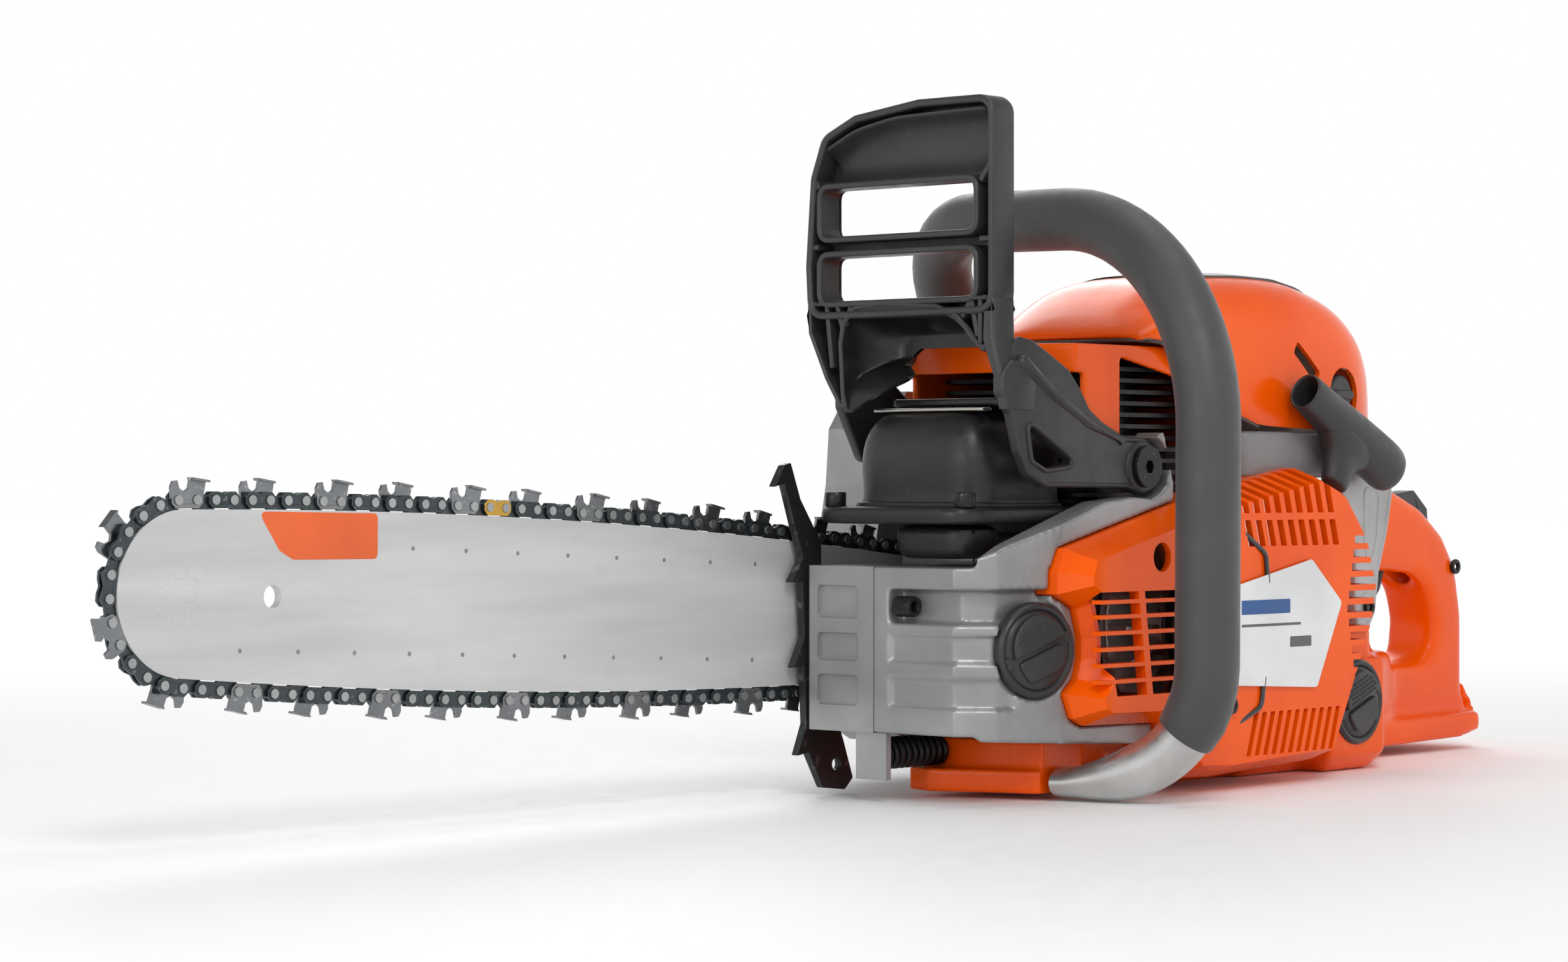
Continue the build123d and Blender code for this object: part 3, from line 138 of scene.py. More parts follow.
ORANGE = (0.95, 0.112, 0.0)
ORANGE_DEEP = (0.86, 0.088, 0.0)
GREY = (0.030, 0.030, 0.032)
SHADERS = {
    "magnesium": shader("cast magnesium", (0.35, 0.35, 0.355), 0.36, 0.45, blotch=30, grain=1400,
                        depth=0.00006, wear=(0.40, 0.40, 0.40), wear_amount=0.15),
    "orange_plastic": shader("gloss orange moulding", ORANGE, 0.22, shade=ORANGE_DEEP, grain=500,
                             depth=0.00001, coat=0.12, specular=0.2),
    "orange_body": shader("satin orange moulding", ORANGE, 0.26, shade=ORANGE_DEEP, grain=700,
                          depth=0.00001, coat=0.1, specular=0.2),
    "dark_plastic": shader("dark grey moulding", GREY, 0.4, blotch=25, grain=2600, depth=0.00005,
                           wear=(0.07, 0.07, 0.07), wear_amount=0.15),
    "black_rubber": shader("grip rubber", (0.055, 0.055, 0.056), 0.5, blotch=20, grain=3000,
                           depth=0.00006, sheen=0.15, wear=(0.09, 0.09, 0.09), wear_amount=0.12),
    "spring_rubber": shader("oiled spring steel", (0.025, 0.025, 0.027), 0.4, 0.8),
    "bar_steel": shader("lacquered bar steel", (0.64, 0.64, 0.635), 0.4, 0.2, blotch=7, grain=260,
                        depth=0.00001, stretch=(1, 4, 9), wear=(0.52, 0.52, 0.52), wear_amount=0.2),
    "chain_steel": shader("blued chain steel", (0.075, 0.088, 0.095), 0.34, 0.9, blotch=60,
                          wear=(0.3, 0.32, 0.34), wear_amount=0.5),
    "cutter_steel": shader("chromed cutter steel", (0.24, 0.25, 0.26), 0.24, 0.95, blotch=60,
                           wear=(0.6, 0.6, 0.6), wear_amount=0.5),
    "rivet_steel": shader("bright rivet steel", (0.42, 0.43, 0.43), 0.26, 0.95, blotch=80),
    "hard_steel": shader("hardened steel", (0.33, 0.33, 0.34), 0.3, 0.95, stretch=(1, 6, 1)),
    "spike_steel": shader("dark spike steel", (0.05, 0.052, 0.054), 0.4, 0.75,
                          wear=(0.3, 0.3, 0.3), wear_amount=0.35),
    "zinc_screws": shader("zinc screws", (0.55, 0.53, 0.48), 0.3, 0.95, blotch=80),
    "black_screws": shader("black screws", (0.022, 0.022, 0.024), 0.34, 0.6, blotch=80,
                           wear=(0.25, 0.25, 0.25), wear_amount=0.3),
    "housing_grey": shader("mid grey moulding", (0.25, 0.25, 0.255), 0.36, blotch=20, grain=1800,
                           depth=0.00003, wear=(0.3, 0.3, 0.3), wear_amount=0.15),
    "aluminium": shader("cast aluminium", (0.62, 0.62, 0.61), 0.36, 0.9, blotch=40, grain=1200),
    "muffler_steel": shader("black muffler paint", (0.011, 0.011, 0.011), 0.42, blotch=25, grain=1800,
                            depth=0.00008, wear=(0.05, 0.047, 0.045), wear_amount=0.2),
    "shield_steel": shader("tinted shield steel", (0.42, 0.40, 0.37), 0.3, 0.95),
    "ceramic": shader("glazed ceramic", (0.8, 0.8, 0.77), 0.2, coat=0.6),
    "filter_felt": shader("filter mesh", (0.62, 0.6, 0.52), 0.8, grain=2500, depth=0.0002, sheen=0.3),
    "label_white": shader("label plate", (0.80, 0.82, 0.825), 0.2, coat=0.4, grain=500, depth=0.000004),
    "trim_grey": shader("gloss dark strip", (0.03, 0.03, 0.032), 0.22, coat=0.4),
}
MARKS = {
    "orange_print": shader("orange print", (0.84, 0.13, 0.02), 0.34, grain=600, depth=0.00001),
    "gold_strap": shader("gold link", (0.60, 0.36, 0.07), 0.28, 0.9, blotch=60),
    "blue_print": shader("blue print", (0.01, 0.09, 0.30), 0.3, grain=600, depth=0.000005),
    "grey_print": shader("grey print", (0.10, 0.105, 0.11), 0.35, grain=600, depth=0.000005),
    "bare_dot": shader("weld dot", (0.30, 0.30, 0.30), 0.45, 0.5, blotch=80),
    "fin_black": shader("blackened fins", (0.018, 0.018, 0.02), 0.45, 0.3, blotch=40, grain=1500),
    "light_arm": shader("light grey arm", (0.46, 0.46, 0.465), 0.38, 0.3, blotch=25, grain=1600,
                        depth=0.00004, wear=(0.55, 0.55, 0.55), wear_amount=0.15),
    # painted shade: a near-black colour for the guard's deep bowl, darker than the guard's own grey moulding,
    # stands for the shade inside the hollow
    "bowl_painted_shade": shader("oily black hollow", (0.007, 0.007, 0.007), 0.34, grain=1500, depth=0.00003,
                         blotch=30),
}
slot_of = {part["node"]: part["material_slot"] for part in frame["record"]["subparts"]}
body_of = {node: obj["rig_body"] for node, obj in nodes.items()}

# ---------------------------------------------------------------- mesh tools


def add_modifier(piece, name, kind, **values):
    """A modifier with these settings."""
    modifier = piece.modifiers.new(name, kind)
    for key, value in values.items():
        setattr(modifier, key, value)
    return modifier


def bake(piece):
    """Turns the piece with its modifiers into a plain mesh object of the same name."""
    name = piece.name
    depsgraph = bpy.context.evaluated_depsgraph_get()
    depsgraph.update()
    mesh = bpy.data.meshes.new_from_object(piece.evaluated_get(depsgraph))
    mesh.transform(piece.matrix_world)
    bpy.data.objects.remove(piece)
    done = bpy.data.objects.new(name, mesh)
    bpy.context.scene.collection.objects.link(done)
    return done


def dress(piece, slot, body, replaced=(), mat=None, smooth_angle=38):
    """Gives a finished piece its material, taken from its slot unless one is given, and its body."""
    piece.data.materials.clear()
    piece.data.materials.append(mat or SHADERS[slot])
    for face in piece.data.polygons:
        face.use_smooth = True
    piece.data.set_sharp_from_angle(angle=math.radians(smooth_angle))
    if replaced:
        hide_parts(*replaced)
    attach(piece, body)


def mesh_object(name, points, faces):
    """An object from points in millimetres and faces, with its normals outward."""
    mesh = bpy.data.meshes.new(name)
    mesh.from_pydata([tuple(MM * c for c in p) for p in points], [], faces)
    work = bmesh.new()
    work.from_mesh(mesh)
    bmesh.ops.remove_doubles(work, verts=work.verts, dist=1e-6)
    bmesh.ops.recalc_face_normals(work, faces=work.faces)
    work.to_mesh(mesh)
    work.free()
    piece = bpy.data.objects.new(name, mesh)
    bpy.context.scene.collection.objects.link(piece)
    return piece


STRAIGHT = math.radians(176)


def rounded(points, radius, steps=5):
    """A closed outline with each corner turned into an arc."""
    result = []
    count = len(points)
    for k in range(count):
        corner = Vector(points[k])
        before = Vector(points[k - 1]) - corner
        after = Vector(points[(k + 1) % count]) - corner
        angle = before.angle(after) if before.length and after.length else math.pi
        if angle > STRAIGHT:
            result.append(tuple(corner))
            continue
        cut = min(radius / math.tan(angle / 2), 0.48 * before.length, 0.48 * after.length)
        start = corner + before.normalized() * cut
        end = corner + after.normalized() * cut
        for i in range(steps + 1):
            t = i / steps
            result.append(tuple(start * (1 - t) ** 2 + corner * 2 * t * (1 - t) + end * t ** 2))
    return result


def circle(x, z, radius, count=32):
    """A closed round outline."""
    turns = [2 * math.pi * k / count for k in range(count)]
    return [(x + radius * math.cos(a), z + radius * math.sin(a)) for a in turns]


# where a flat outline's two directions and its depth point on the saw
FACING = {
    "side": Matrix(((1, 0, 0), (0, 0, -1), (0, 1, 0))).to_4x4(),
    "front": Matrix(((0, 0, 1), (1, 0, 0), (0, 1, 0))).to_4x4(),
    "plan": Matrix.Identity(4),
}


def plate(name, outlines, depth, place=(0, 0, 0), facing="side", edge=0.8, turn=None):
    """A flat moulding of this depth with rounded edges. The first outline is its rim, the others are holes.

    Its middle plane goes through place. turn is a rotation about place.
    """
    curve = bpy.data.curves.new(name, "CURVE")
    curve.dimensions = "2D"
    curve.fill_mode = "BOTH"
    curve.extrude = MM * (depth / 2 - edge)
    curve.bevel_depth = MM * edge
    curve.bevel_resolution = 2
    curve.offset = -MM * edge
    for outline in outlines:
        spline = curve.splines.new("POLY")
        spline.points.add(len(outline) - 1)
        for point, (a, b) in zip(spline.points, outline):
            point.co = (MM * a, MM * b, 0, 1)
        spline.use_cyclic_u = True
    piece = bpy.data.objects.new(name, curve)
    bpy.context.scene.collection.objects.link(piece)
    spot = Matrix.Translation(Vector(place) * MM)
    piece.matrix_world = spot @ (turn or Matrix.Identity(4)) @ FACING[facing]
    bpy.context.view_layer.update()
    return bake(piece)


def loft(name, rings, closed=True, caps=True):
    """A skin over rings of equally many points."""
    points = [p for ring in rings for p in ring]
    size = len(rings[0])
    faces = []
    for r in range(len(rings) - 1):
        for k in range(size if closed else size - 1):
            a, b = r * size + k, r * size + (k + 1) % size
            faces.append((a, b, b + size, a + size))
    if caps:
        faces.append(tuple(range(size)))
        faces.append(tuple(range(len(points) - size, len(points))))
    return mesh_object(name, points, faces)


def bent_path(corners, radii, step=6.0):
    """Points along a line through the corners, with an arc of its own radius at each bend."""
    points = [Vector(c) for c in corners]
    path = [points[0]]
    for before, corner, after, radius in zip(points, points[1:], points[2:], radii):
        into = (before - corner).normalized()
        away = (after - corner).normalized()
        half = into.angle(away) / 2
        cut = radius / math.tan(half)
        middle = corner + (into + away).normalized() * (radius / math.sin(half))
        start = corner + into * cut - middle
        end = corner + away * cut - middle
        turn = start.angle(end)
        count = max(4, int(radius * turn / step))
        for k in range(count + 1):
            t = k / count
            swing = start * math.sin((1 - t) * turn) + end * math.sin(t * turn)
            path.append(middle + swing / math.sin(turn))
    path.append(points[-1])
    dense = [path[0]]
    for a, b in zip(path, path[1:]):
        pieces = max(1, int((b - a).length / step))
        dense += [a.lerp(b, (k + 1) / pieces) for k in range(pieces)]
    return dense


def tube(name, path, radius, around):
    """A round bar along a path. radius is a number or a function of the share of the way along."""
    size = radius if callable(radius) else (lambda share: radius)
    lengths = [0.0]
    for a, b in zip(path, path[1:]):
        lengths.append(lengths[-1] + (b - a).length)
    rings = []
    side = None
    for k, point in enumerate(path):
        ahead = (path[min(k + 1, len(path) - 1)] - path[max(k - 1, 0)]).normalized()
        side = ahead.orthogonal() if side is None else side - ahead * side.dot(ahead)
        side.normalize()
        up = ahead.cross(side)
        r = size(lengths[k] / lengths[-1])
        rings.append([
            tuple(point + r * (side * math.cos(a) + up * math.sin(a)))
            for a in (2 * math.pi * j / around for j in range(around))
        ])
    return loft(name, rings)


def joined(name, parts):
    """Several pieces as one object."""
    work = bmesh.new()
    for part in parts:
        part.data.transform(part.matrix_world)
        work.from_mesh(part.data)
        bpy.data.objects.remove(part)
    mesh = bpy.data.meshes.new(name)
    work.to_mesh(mesh)
    work.free()
    whole = bpy.data.objects.new(name, mesh)
    bpy.context.scene.collection.objects.link(whole)
    return whole


def inset(points, distance):
    """A closed outline moved inward by a distance, or outward by a negative one."""
    area = sum(a[0] * b[1] - b[0] * a[1] for a, b in zip(points, points[1:] + points[:1]))
    sign = 1 if area > 0 else -1
    moved = []
    for k, point in enumerate(points):
        corner = Vector(point)
        into = (corner - Vector(points[k - 1])).normalized()
        away = (Vector(points[(k + 1) % len(points)]) - corner).normalized()
        normal = Vector((-into.y - away.y, into.x + away.x)).normalized() * sign
        # a sharp corner moves by no more than about three times the distance
        stretch = max(0.35, normal.dot(Vector((-into.y, into.x)) * sign))
        moved.append(tuple(corner + normal * distance / stretch))
    return moved


def box_outline(x0, z0, x1, z1):
    """A closed rectangle."""
    return [(x0, z0), (x1, z0), (x1, z1), (x0, z1)]


def carve(piece, cutters):
    """Cuts other pieces out of a piece."""
    for k, cutter in enumerate(cutters):
        add_modifier(piece, f"cut {k}", "BOOLEAN", operation="DIFFERENCE", object=cutter, solver="EXACT")
    piece = bake(piece)
    for cutter in cutters:
        bpy.data.objects.remove(cutter)
    return piece


def moulded(node, voxel, rounds, softer=None):
    """A copy of a CAD node with its edges rounded off as on a moulding, standing for that node.

    Points for which softer says yes, from their place in millimetres, are rounded off much more.
    """
    piece = bpy.data.objects.new(node + "_moulding", nodes[node].data.copy())
    bpy.context.scene.collection.objects.link(piece)
    add_modifier(piece, "weld", "WELD", merge_threshold=WELD_DISTANCE)
    add_modifier(piece, "remesh", "REMESH", mode="VOXEL", voxel_size=voxel * MM)
    add_modifier(piece, "smooth", "SMOOTH", factor=0.5, iterations=rounds)
    piece = bake(piece)
    if softer:
        group = piece.vertex_groups.new(name="softer")
        group.add([v.index for v in piece.data.vertices if softer(v.co / MM)], 1.0, "REPLACE")
        add_modifier(piece, "round", "SMOOTH", factor=0.5, iterations=70, vertex_group="softer")
        piece = bake(piece)
    dress(piece, slot_of[node], body_of[node], [node], smooth_angle=80)


# ---------------------------------------------------------------- CAD nodes that keep their shape

FINE = ("drive_links", "tie_straps", "left_cutters", "right_cutters", "chain_rivets")
for node, obj in nodes.items():
    obj.data.materials.clear()
    obj.data.materials.append(SHADERS[slot_of[node]])
    add_modifier(obj, "weld", "WELD", merge_threshold=WELD_DISTANCE)
    add_modifier(obj, "edges", "BEVEL", width=(0.12 if node in FINE else 0.5) * MM, segments=2,
                 limit_method="ANGLE", angle_limit=math.radians(32), harden_normals=True)

# ---------------------------------------------------------------- guide bar and chain marks

BAR_LEFT = 44.0
BAR_TURN = Matrix.Rotation(math.radians(2.73), 4, "Y")
CRANK_HEIGHT = 69
MARK_DEPTH = 0.3
DOTS, DOT_NOSE, DOT_GAP, DOT_ROW = 12, -422.1, 26.87, 19.4
GOLD_AT = (-299, 36.2)
RIVET_TO_MIDDLE = 4.12


def on_bar(name, outlines, depth, slot, mat, edge=0.1):
    """A thin mark on the bar's left face, in the bar's own directions from the crank axis."""
    piece = plate(name, outlines, depth, (0, BAR_LEFT, CRANK_HEIGHT), edge=edge, turn=BAR_TURN)
    dress(piece, slot, "powerhead", mat=mat)


def bar_marks():
    """Printed patch, rows of weld dots and the rivets of the nose."""
    patch = [(-416, 30.0), (-359.5, 31.6), (-358.8, 15.0), (-399, 13.4), (-405.5, 16.4)]
    on_bar("bar_patch", [rounded(patch, 2.2)], MARK_DEPTH, "bar_steel", MARKS["orange_print"])
    for k in range(DOTS):
        for row, z in (("low", -DOT_ROW), ("top", DOT_ROW)):
            # the patch covers the first three of the top row
            if row == "low" or k >= 3:
                on_bar(f"weld_dot_{k}_{row}", [circle(DOT_NOSE + DOT_GAP * k, z, 0.85, 14)], MARK_DEPTH,
                       "bar_steel", MARKS["bare_dot"])
    strap = [(-6.9, -1.2), (-6.9, 1.2), (-5.2, 2.95), (-2.6, 2.95), (0, 2.2), (2.6, 2.95), (5.2, 2.95),
             (6.9, 1.2), (6.9, -1.2), (5.2, -2.95), (-5.2, -2.95)]
    link = [(GOLD_AT[0] + x, GOLD_AT[1] + z) for x, z in strap]
    holes = [circle(GOLD_AT[0] + side * RIVET_TO_MIDDLE, GOLD_AT[1], 1.7, 20) for side in (-1, 1)]
    on_bar("gold_strap", [link] + holes, MARK_DEPTH, "chain_steel", MARKS["gold_strap"])
    rivets = [(-458, 5), (-458, -5), (-450, 8), (-450, -8), (-445.6, 0), (-441.5, 7.5), (-441.5, -7.5)]
    for k, (x, z) in enumerate(rivets):
        on_bar(f"nose_rivet_{k}", [circle(x, z, 2.9, 24)], 0.4, "bar_steel", SHADERS["bar_steel"], 0.15)


bar_marks()

# ---------------------------------------------------------------- front handle


HANDLE_TOP = [(-55, -112, 236), (-22, 64, 241)]
HANDLE_BENDS = [45, 88, 40]
GRIP_RADIUS, TUBE_RADIUS = 13.0, 11.0


def grip_radius(share):
    """Radius of the grip at this share of its length, a little less at its very ends."""
    return GRIP_RADIUS - max(0.0, 1 - min(share, 1 - share) / 0.006) ** 2


def front_handle():
    """Rubber grip with soft ends over the bent tube."""
    grip_path = bent_path([(-58.7, -102.9, 28.4), (-56.8, -112, 40.8), *HANDLE_TOP, (2, 64, 200)],
                          HANDLE_BENDS)
    dress(tube("front_handle_sleeve", grip_path, grip_radius, 40), "black_rubber", "powerhead",
          ["front_handle_grip"], smooth_angle=60)
    tube_path = bent_path([(-69, -48.3, 11), (-57, -112, 11), *HANDLE_TOP, (30, 64, 152)], HANDLE_BENDS, 4)
    bar = tube("front_handle_bar", tube_path, TUBE_RADIUS, 36)
    # pressed flat where it enters the bracket
    for vertex in bar.data.vertices:
        if vertex.co.z < 30 * MM:
            near = max(0.0, 1 - max(0.0, -50 - vertex.co.y / MM) / 34)
            vertex.co.z = vertex.co.z * (1 - 0.45 * near * near * (3 - 2 * near)) + 0.0012 * near
    dress(bar, "aluminium", "powerhead", ["front_handle_tube"], smooth_angle=60)


front_handle()

# ---------------------------------------------------------------- filter cover

# along the saw: the dome's rings, then its left edge, right edge, ridge and lower seam
DOME_STATIONS = [-14, -13, -11, -8, -4, 2, 8, 15, 24, 34, 46, 60, 76, 92, 108, 122, 134, 144, 153, 161,
                 168, 175, 181, 185, 187.4]
DOME_LEFT = [(-14, -46), (-10, -49.5), (0, -52), (24, -54.5), (48, -56), (90, -57), (140, -55.5),
             (158, -50), (170, -41), (180, -29), (188, -14)]
DOME_RIGHT = [(-14, 24), (-6, 33), (8, 42), (26, 48), (50, 51), (90, 53), (150, 52), (172, 42), (188, 14)]
DOME_RIDGE = [(-14, 190.5), (-11, 194), (-4, 199), (10, 207.5), (24, 215), (34, 217.6), (54, 220),
              (80, 221), (108, 220.6), (128, 217.5), (146, 211), (162, 202), (174, 191), (182, 176),
              (188, 156)]
DOME_SEAM = [(-14, 188.6), (-2, 187.5), (24, 172), (46, 157), (60, 153), (100, 151.5), (188, 152)]
# 1 is an ellipse and smaller is boxier
DOME_SHOULDER = 0.55
KNOB_AT = (129, 168)


def between(places, x):
    """Height at x on a line through a list of places."""
    for (x0, y0), (x1, y1) in zip(places, places[1:]):
        if x <= x1:
            return y0 + (y1 - y0) * max(0.0, (x - x0) / (x1 - x0))
    return places[-1][1]


def dome_point(x, turn, out=0.0):
    """A place on the dome, from its left edge at turn 0 over the ridge to its right edge at turn 1."""
    low, high = between(DOME_SEAM, x), between(DOME_RIDGE, x)
    a, b = between(DOME_LEFT, x), between(DOME_RIGHT, x)
    c, s = math.cos(math.pi * turn), math.sin(math.pi * turn)
    y = (a + b) / 2 - ((b - a) / 2 + out) * math.copysign(abs(c) ** DOME_SHOULDER, c)
    return x, y, low + (high - low + out) * abs(s) ** DOME_SHOULDER


def filter_dome():
    """Domed filter cover with boxy shoulders, the dark strip on its ridge and a thin dark tube along its seam
    as a painted shadow line.
    """
    rings = [[dome_point(x, k / 40) for k in range(41)] for x in DOME_STATIONS]
    dome = loft("filter_dome", rings, closed=False, caps=False)
    add_modifier(dome, "skin", "SOLIDIFY", thickness=2.2 * MM, offset=-1)
    add_modifier(dome, "soft", "SUBSURF", levels=1, render_levels=1)
    dome = bake(dome)
    slot_cut = plate("slot_cut", [rounded(box_outline(-8, -3.4, 13, 3.4), 1.5)], 9, (97, -57, 183),
                     edge=0.5, turn=Matrix.Rotation(math.radians(40), 4, "Y"))
    knob_cut = plate("knob_cut", [circle(*KNOB_AT, 12)], 14, (0, -55, 0), edge=1.0)
    dress(carve(dome, [slot_cut, knob_cut]), "orange_plastic", "powerhead", ["filter_cover"],
          smooth_angle=50)
    turns = [0.40 + 0.24 * k / 10 for k in range(11)]
    rows = [[dome_point(x, t, 0.7) for t in turns] for x in range(46, 175, 4)]
    strip = loft("dome_strip", rows, closed=False, caps=False)
    add_modifier(strip, "skin", "SOLIDIFY", thickness=1.6 * MM, offset=-1)
    dress(bake(strip), "trim_grey", "powerhead", ["filter_cover_trim"])
    # painted shadow: a thin dark tube along the dome's front edge and lower seam stands for the shadow in the
    # gap between the dome and the hood
    seam_shadow_line = [Vector((-14.4, y, 188.4)) for y in (22, 8, -8, -24, -40)]
    seam_shadow_line += [Vector(dome_point(x, 0)) for x in (-10, -4, 2, 8, 15, 24, 34, 46, 60)]
    dress(tube("dome_gasket", seam_shadow_line, 0.9, 8), "trim_grey", "powerhead", smooth_angle=60)


filter_dome()


def knob():
    """Quarter-turn knob with its grip bar."""
    parts = [
        plate("knob_disc", [circle(*KNOB_AT, 9, 40)], 8, (0, -50, 0), edge=1.6),
        plate("knob_bar", [rounded(box_outline(121.5, 166, 136.5, 170), 1.8)], 4, (0, -54, 0), edge=1.0),
    ]
    dress(joined("dome_knob", parts), "dark_plastic", body_of["cover_knob"], ["cover_knob"])


knob()

# ---------------------------------------------------------------- hand guard

# seen from the front: the rim, and the arch below the windows that ends in the left corner
GUARD_RIM = [(-52, 196), (-52, 279), (-47, 283.4), (-12.7, 283.5), (21, 279.2), (38.4, 271.5),
             (44.7, 254.6), (47.4, 218), (46.2, 196)]
ARCH = [(46.6, 203.4), (46, 190.5), (37, 171.4), (30, 160.5), (25, 158.8), (26.6, 164), (28, 186),
        (26.6, 194), (21, 199.4), (7.7, 200.6), (-21.8, 199), (-32.4, 194.8), (-38.5, 187.3),
        (-46.5, 180), (-50.5, 185), (-52, 196), (-52, 203.4)]
# seen from the side: the guard's hinge and the front and back of its rim
PIVOT = (-24.4, 135.4)
PIVOT_HOLE = 4.1
FRONT, BACK = -117.9, -103.6


def bowl():
    """Deep hollow below the windows that passes over the muffler, cut open at its lower right."""
    rows = []
    for k in range(28):
        z = 200 - 42 * k / 27
        left = between([(158, 25.5), (165, 27.3), (186, 28.6), (195, 26.5), (200, 21)], z)
        right = between([(158, -47), (184, -43), (190, -38.5), (195, -32.5), (200, -21)], z)
        row = []
        for j in range(41):
            y = left + (right - left) * (1 - math.cos(math.pi * j / 40)) / 2
            rise = 1.0
            for gap, reach in ((left - y, 19), (y - right, 14), (200 - z, 13)):
                rise *= math.sin(math.pi / 2 * max(0.0, min(1.0, gap / reach))) ** 0.6
            # shallow low down, so that it clears the muffler when the guard is tilted forward
            room = between([(158, 1.2), (166, 3.6), (172, 9), (179, 23), (200, 24)], z)
            row.append((FRONT + 0.8 + min(24 * rise, room), y, z))
        rows.append(row)
    sheet = loft("bowl", rows, closed=False, caps=False)
    add_modifier(sheet, "skin", "SOLIDIFY", thickness=2.4 * MM, offset=0)
    sheet = bake(sheet)
    opening = rounded([(-60, 183.8), (4, 183.8), (8, 181), (8, 176.5), (-4, 171.5), (8, 166), (26, 156.5),
                       (30, 150), (-60, 150)], 2.4)
    return carve(sheet, [plate("opening", [opening], 60, (-100, 0, 0), "front", edge=0.4)])


def hood():
    """Hollow curved head of the guard."""
    low = 251.5
    profile = [(-117, 278.5), (-111, 276), (-107, 270), (-105.5, 262), (-107.5, 255), (-112, low)]
    rings = []
    for k in range(15):
        share = k / 14
        y = -47.5 + 86 * share
        sink = between([(0, 0), (0.55, -1), (0.8, -5), (1, -13)], share)
        rings.append([(x, y, z + sink * (z - low) / 27) for x, z in profile])
    sheet = loft("hood", rings, closed=False, caps=False)
    add_modifier(sheet, "skin", "SOLIDIFY", thickness=2 * MM, offset=0)
    add_modifier(sheet, "soft", "SUBSURF", levels=2, render_levels=2)
    return bake(sheet)


def strut(ends, depth, middle):
    """A straight rib of the guard, seen from the front."""
    (y0, z0), (y1, z1) = ends
    step = Vector((z0 - z1, y1 - y0)).normalized() * 1.1
    first, last = Vector((y0, z0)), Vector((y1, z1))
    outline = [tuple(first + step), tuple(last + step), tuple(last - step), tuple(first - step)]
    return plate("rib", [outline], depth, middle, "front", edge=0.5)


def guard_arm():
    """Left arm: web with its cut-out, raised crest, wing behind it and the root at the rim's corner."""
    arm = rounded([
        (-118.5, 172), (-112, 178), (-100, 176), (-84, 166), (-62, 153), (-36, 147.5), (-24, 147.4),
        (-14, 143), (-12.4, 135), (-15, 128), (-24, 124), (-36, 126.6), (-90, 127), (-101, 131.5),
        (-107, 141), (-112, 156), (-118.5, 164)], 5)
    hollow = rounded([(-101.5, 152.5), (-98.5, 138), (-90, 134.5), (-70, 136.4)], 2.2)
    eye = circle(*PIVOT, PIVOT_HOLE)
    wing = rounded([
        (-104, 187.5), (-94, 186), (-82, 180.5), (-70, 174.6), (-62, 166.5), (-56, 158.7), (-47, 153.5),
        (-30, 147), (-44, 141), (-72, 150), (-98, 164), (-112, 176)], 5)
    crest = rounded([(-104, 181), (-84, 167.5), (-60, 155), (-40, 147.5), (-36, 144), (-60, 150),
                     (-86, 162), (-108, 176)], 3)
    parts = [
        plate("arm_web", [inset(arm, 0.8), hollow, eye], 3.4, (0, -55.2, 0), edge=0.8),
        plate("arm_rim", [arm, inset(arm, 2.2)], 5.6, (0, -54.8, 0), edge=1.2),
        plate("hollow_rim", [inset(hollow, -2.0), hollow], 5.8, (0, -54.9, 0), edge=0.9),
        plate("arm_boss", [circle(*PIVOT, 11.6, 40), eye], 6.4, (0, -54.9, 0), edge=1.8),
        plate("arm_wing", [wing], 2.6, (0, -52.4, 0), edge=1.0),
        plate("arm_crest", [crest], 7.2, (0, -54.4, 0), edge=2.2),
    ]
    root = []
    for x0, x1, y0, y1, z in (
            (FRONT, BACK, -52, -46.5, 197), (FRONT, BACK, -52.4, -46, 186),
            (FRONT - 0.4, BACK + 4, -54.6, -49, 178), (FRONT - 0.4, BACK + 8, -57.6, -53, 168),
            (FRONT + 1, BACK + 6, -57.4, -53.4, 158)):
        root.append([(x, y, z) for x, y in rounded(box_outline(x0, y0, x1, y1), 2, 3)])
    parts.append(loft("arm_root", root))
    return parts


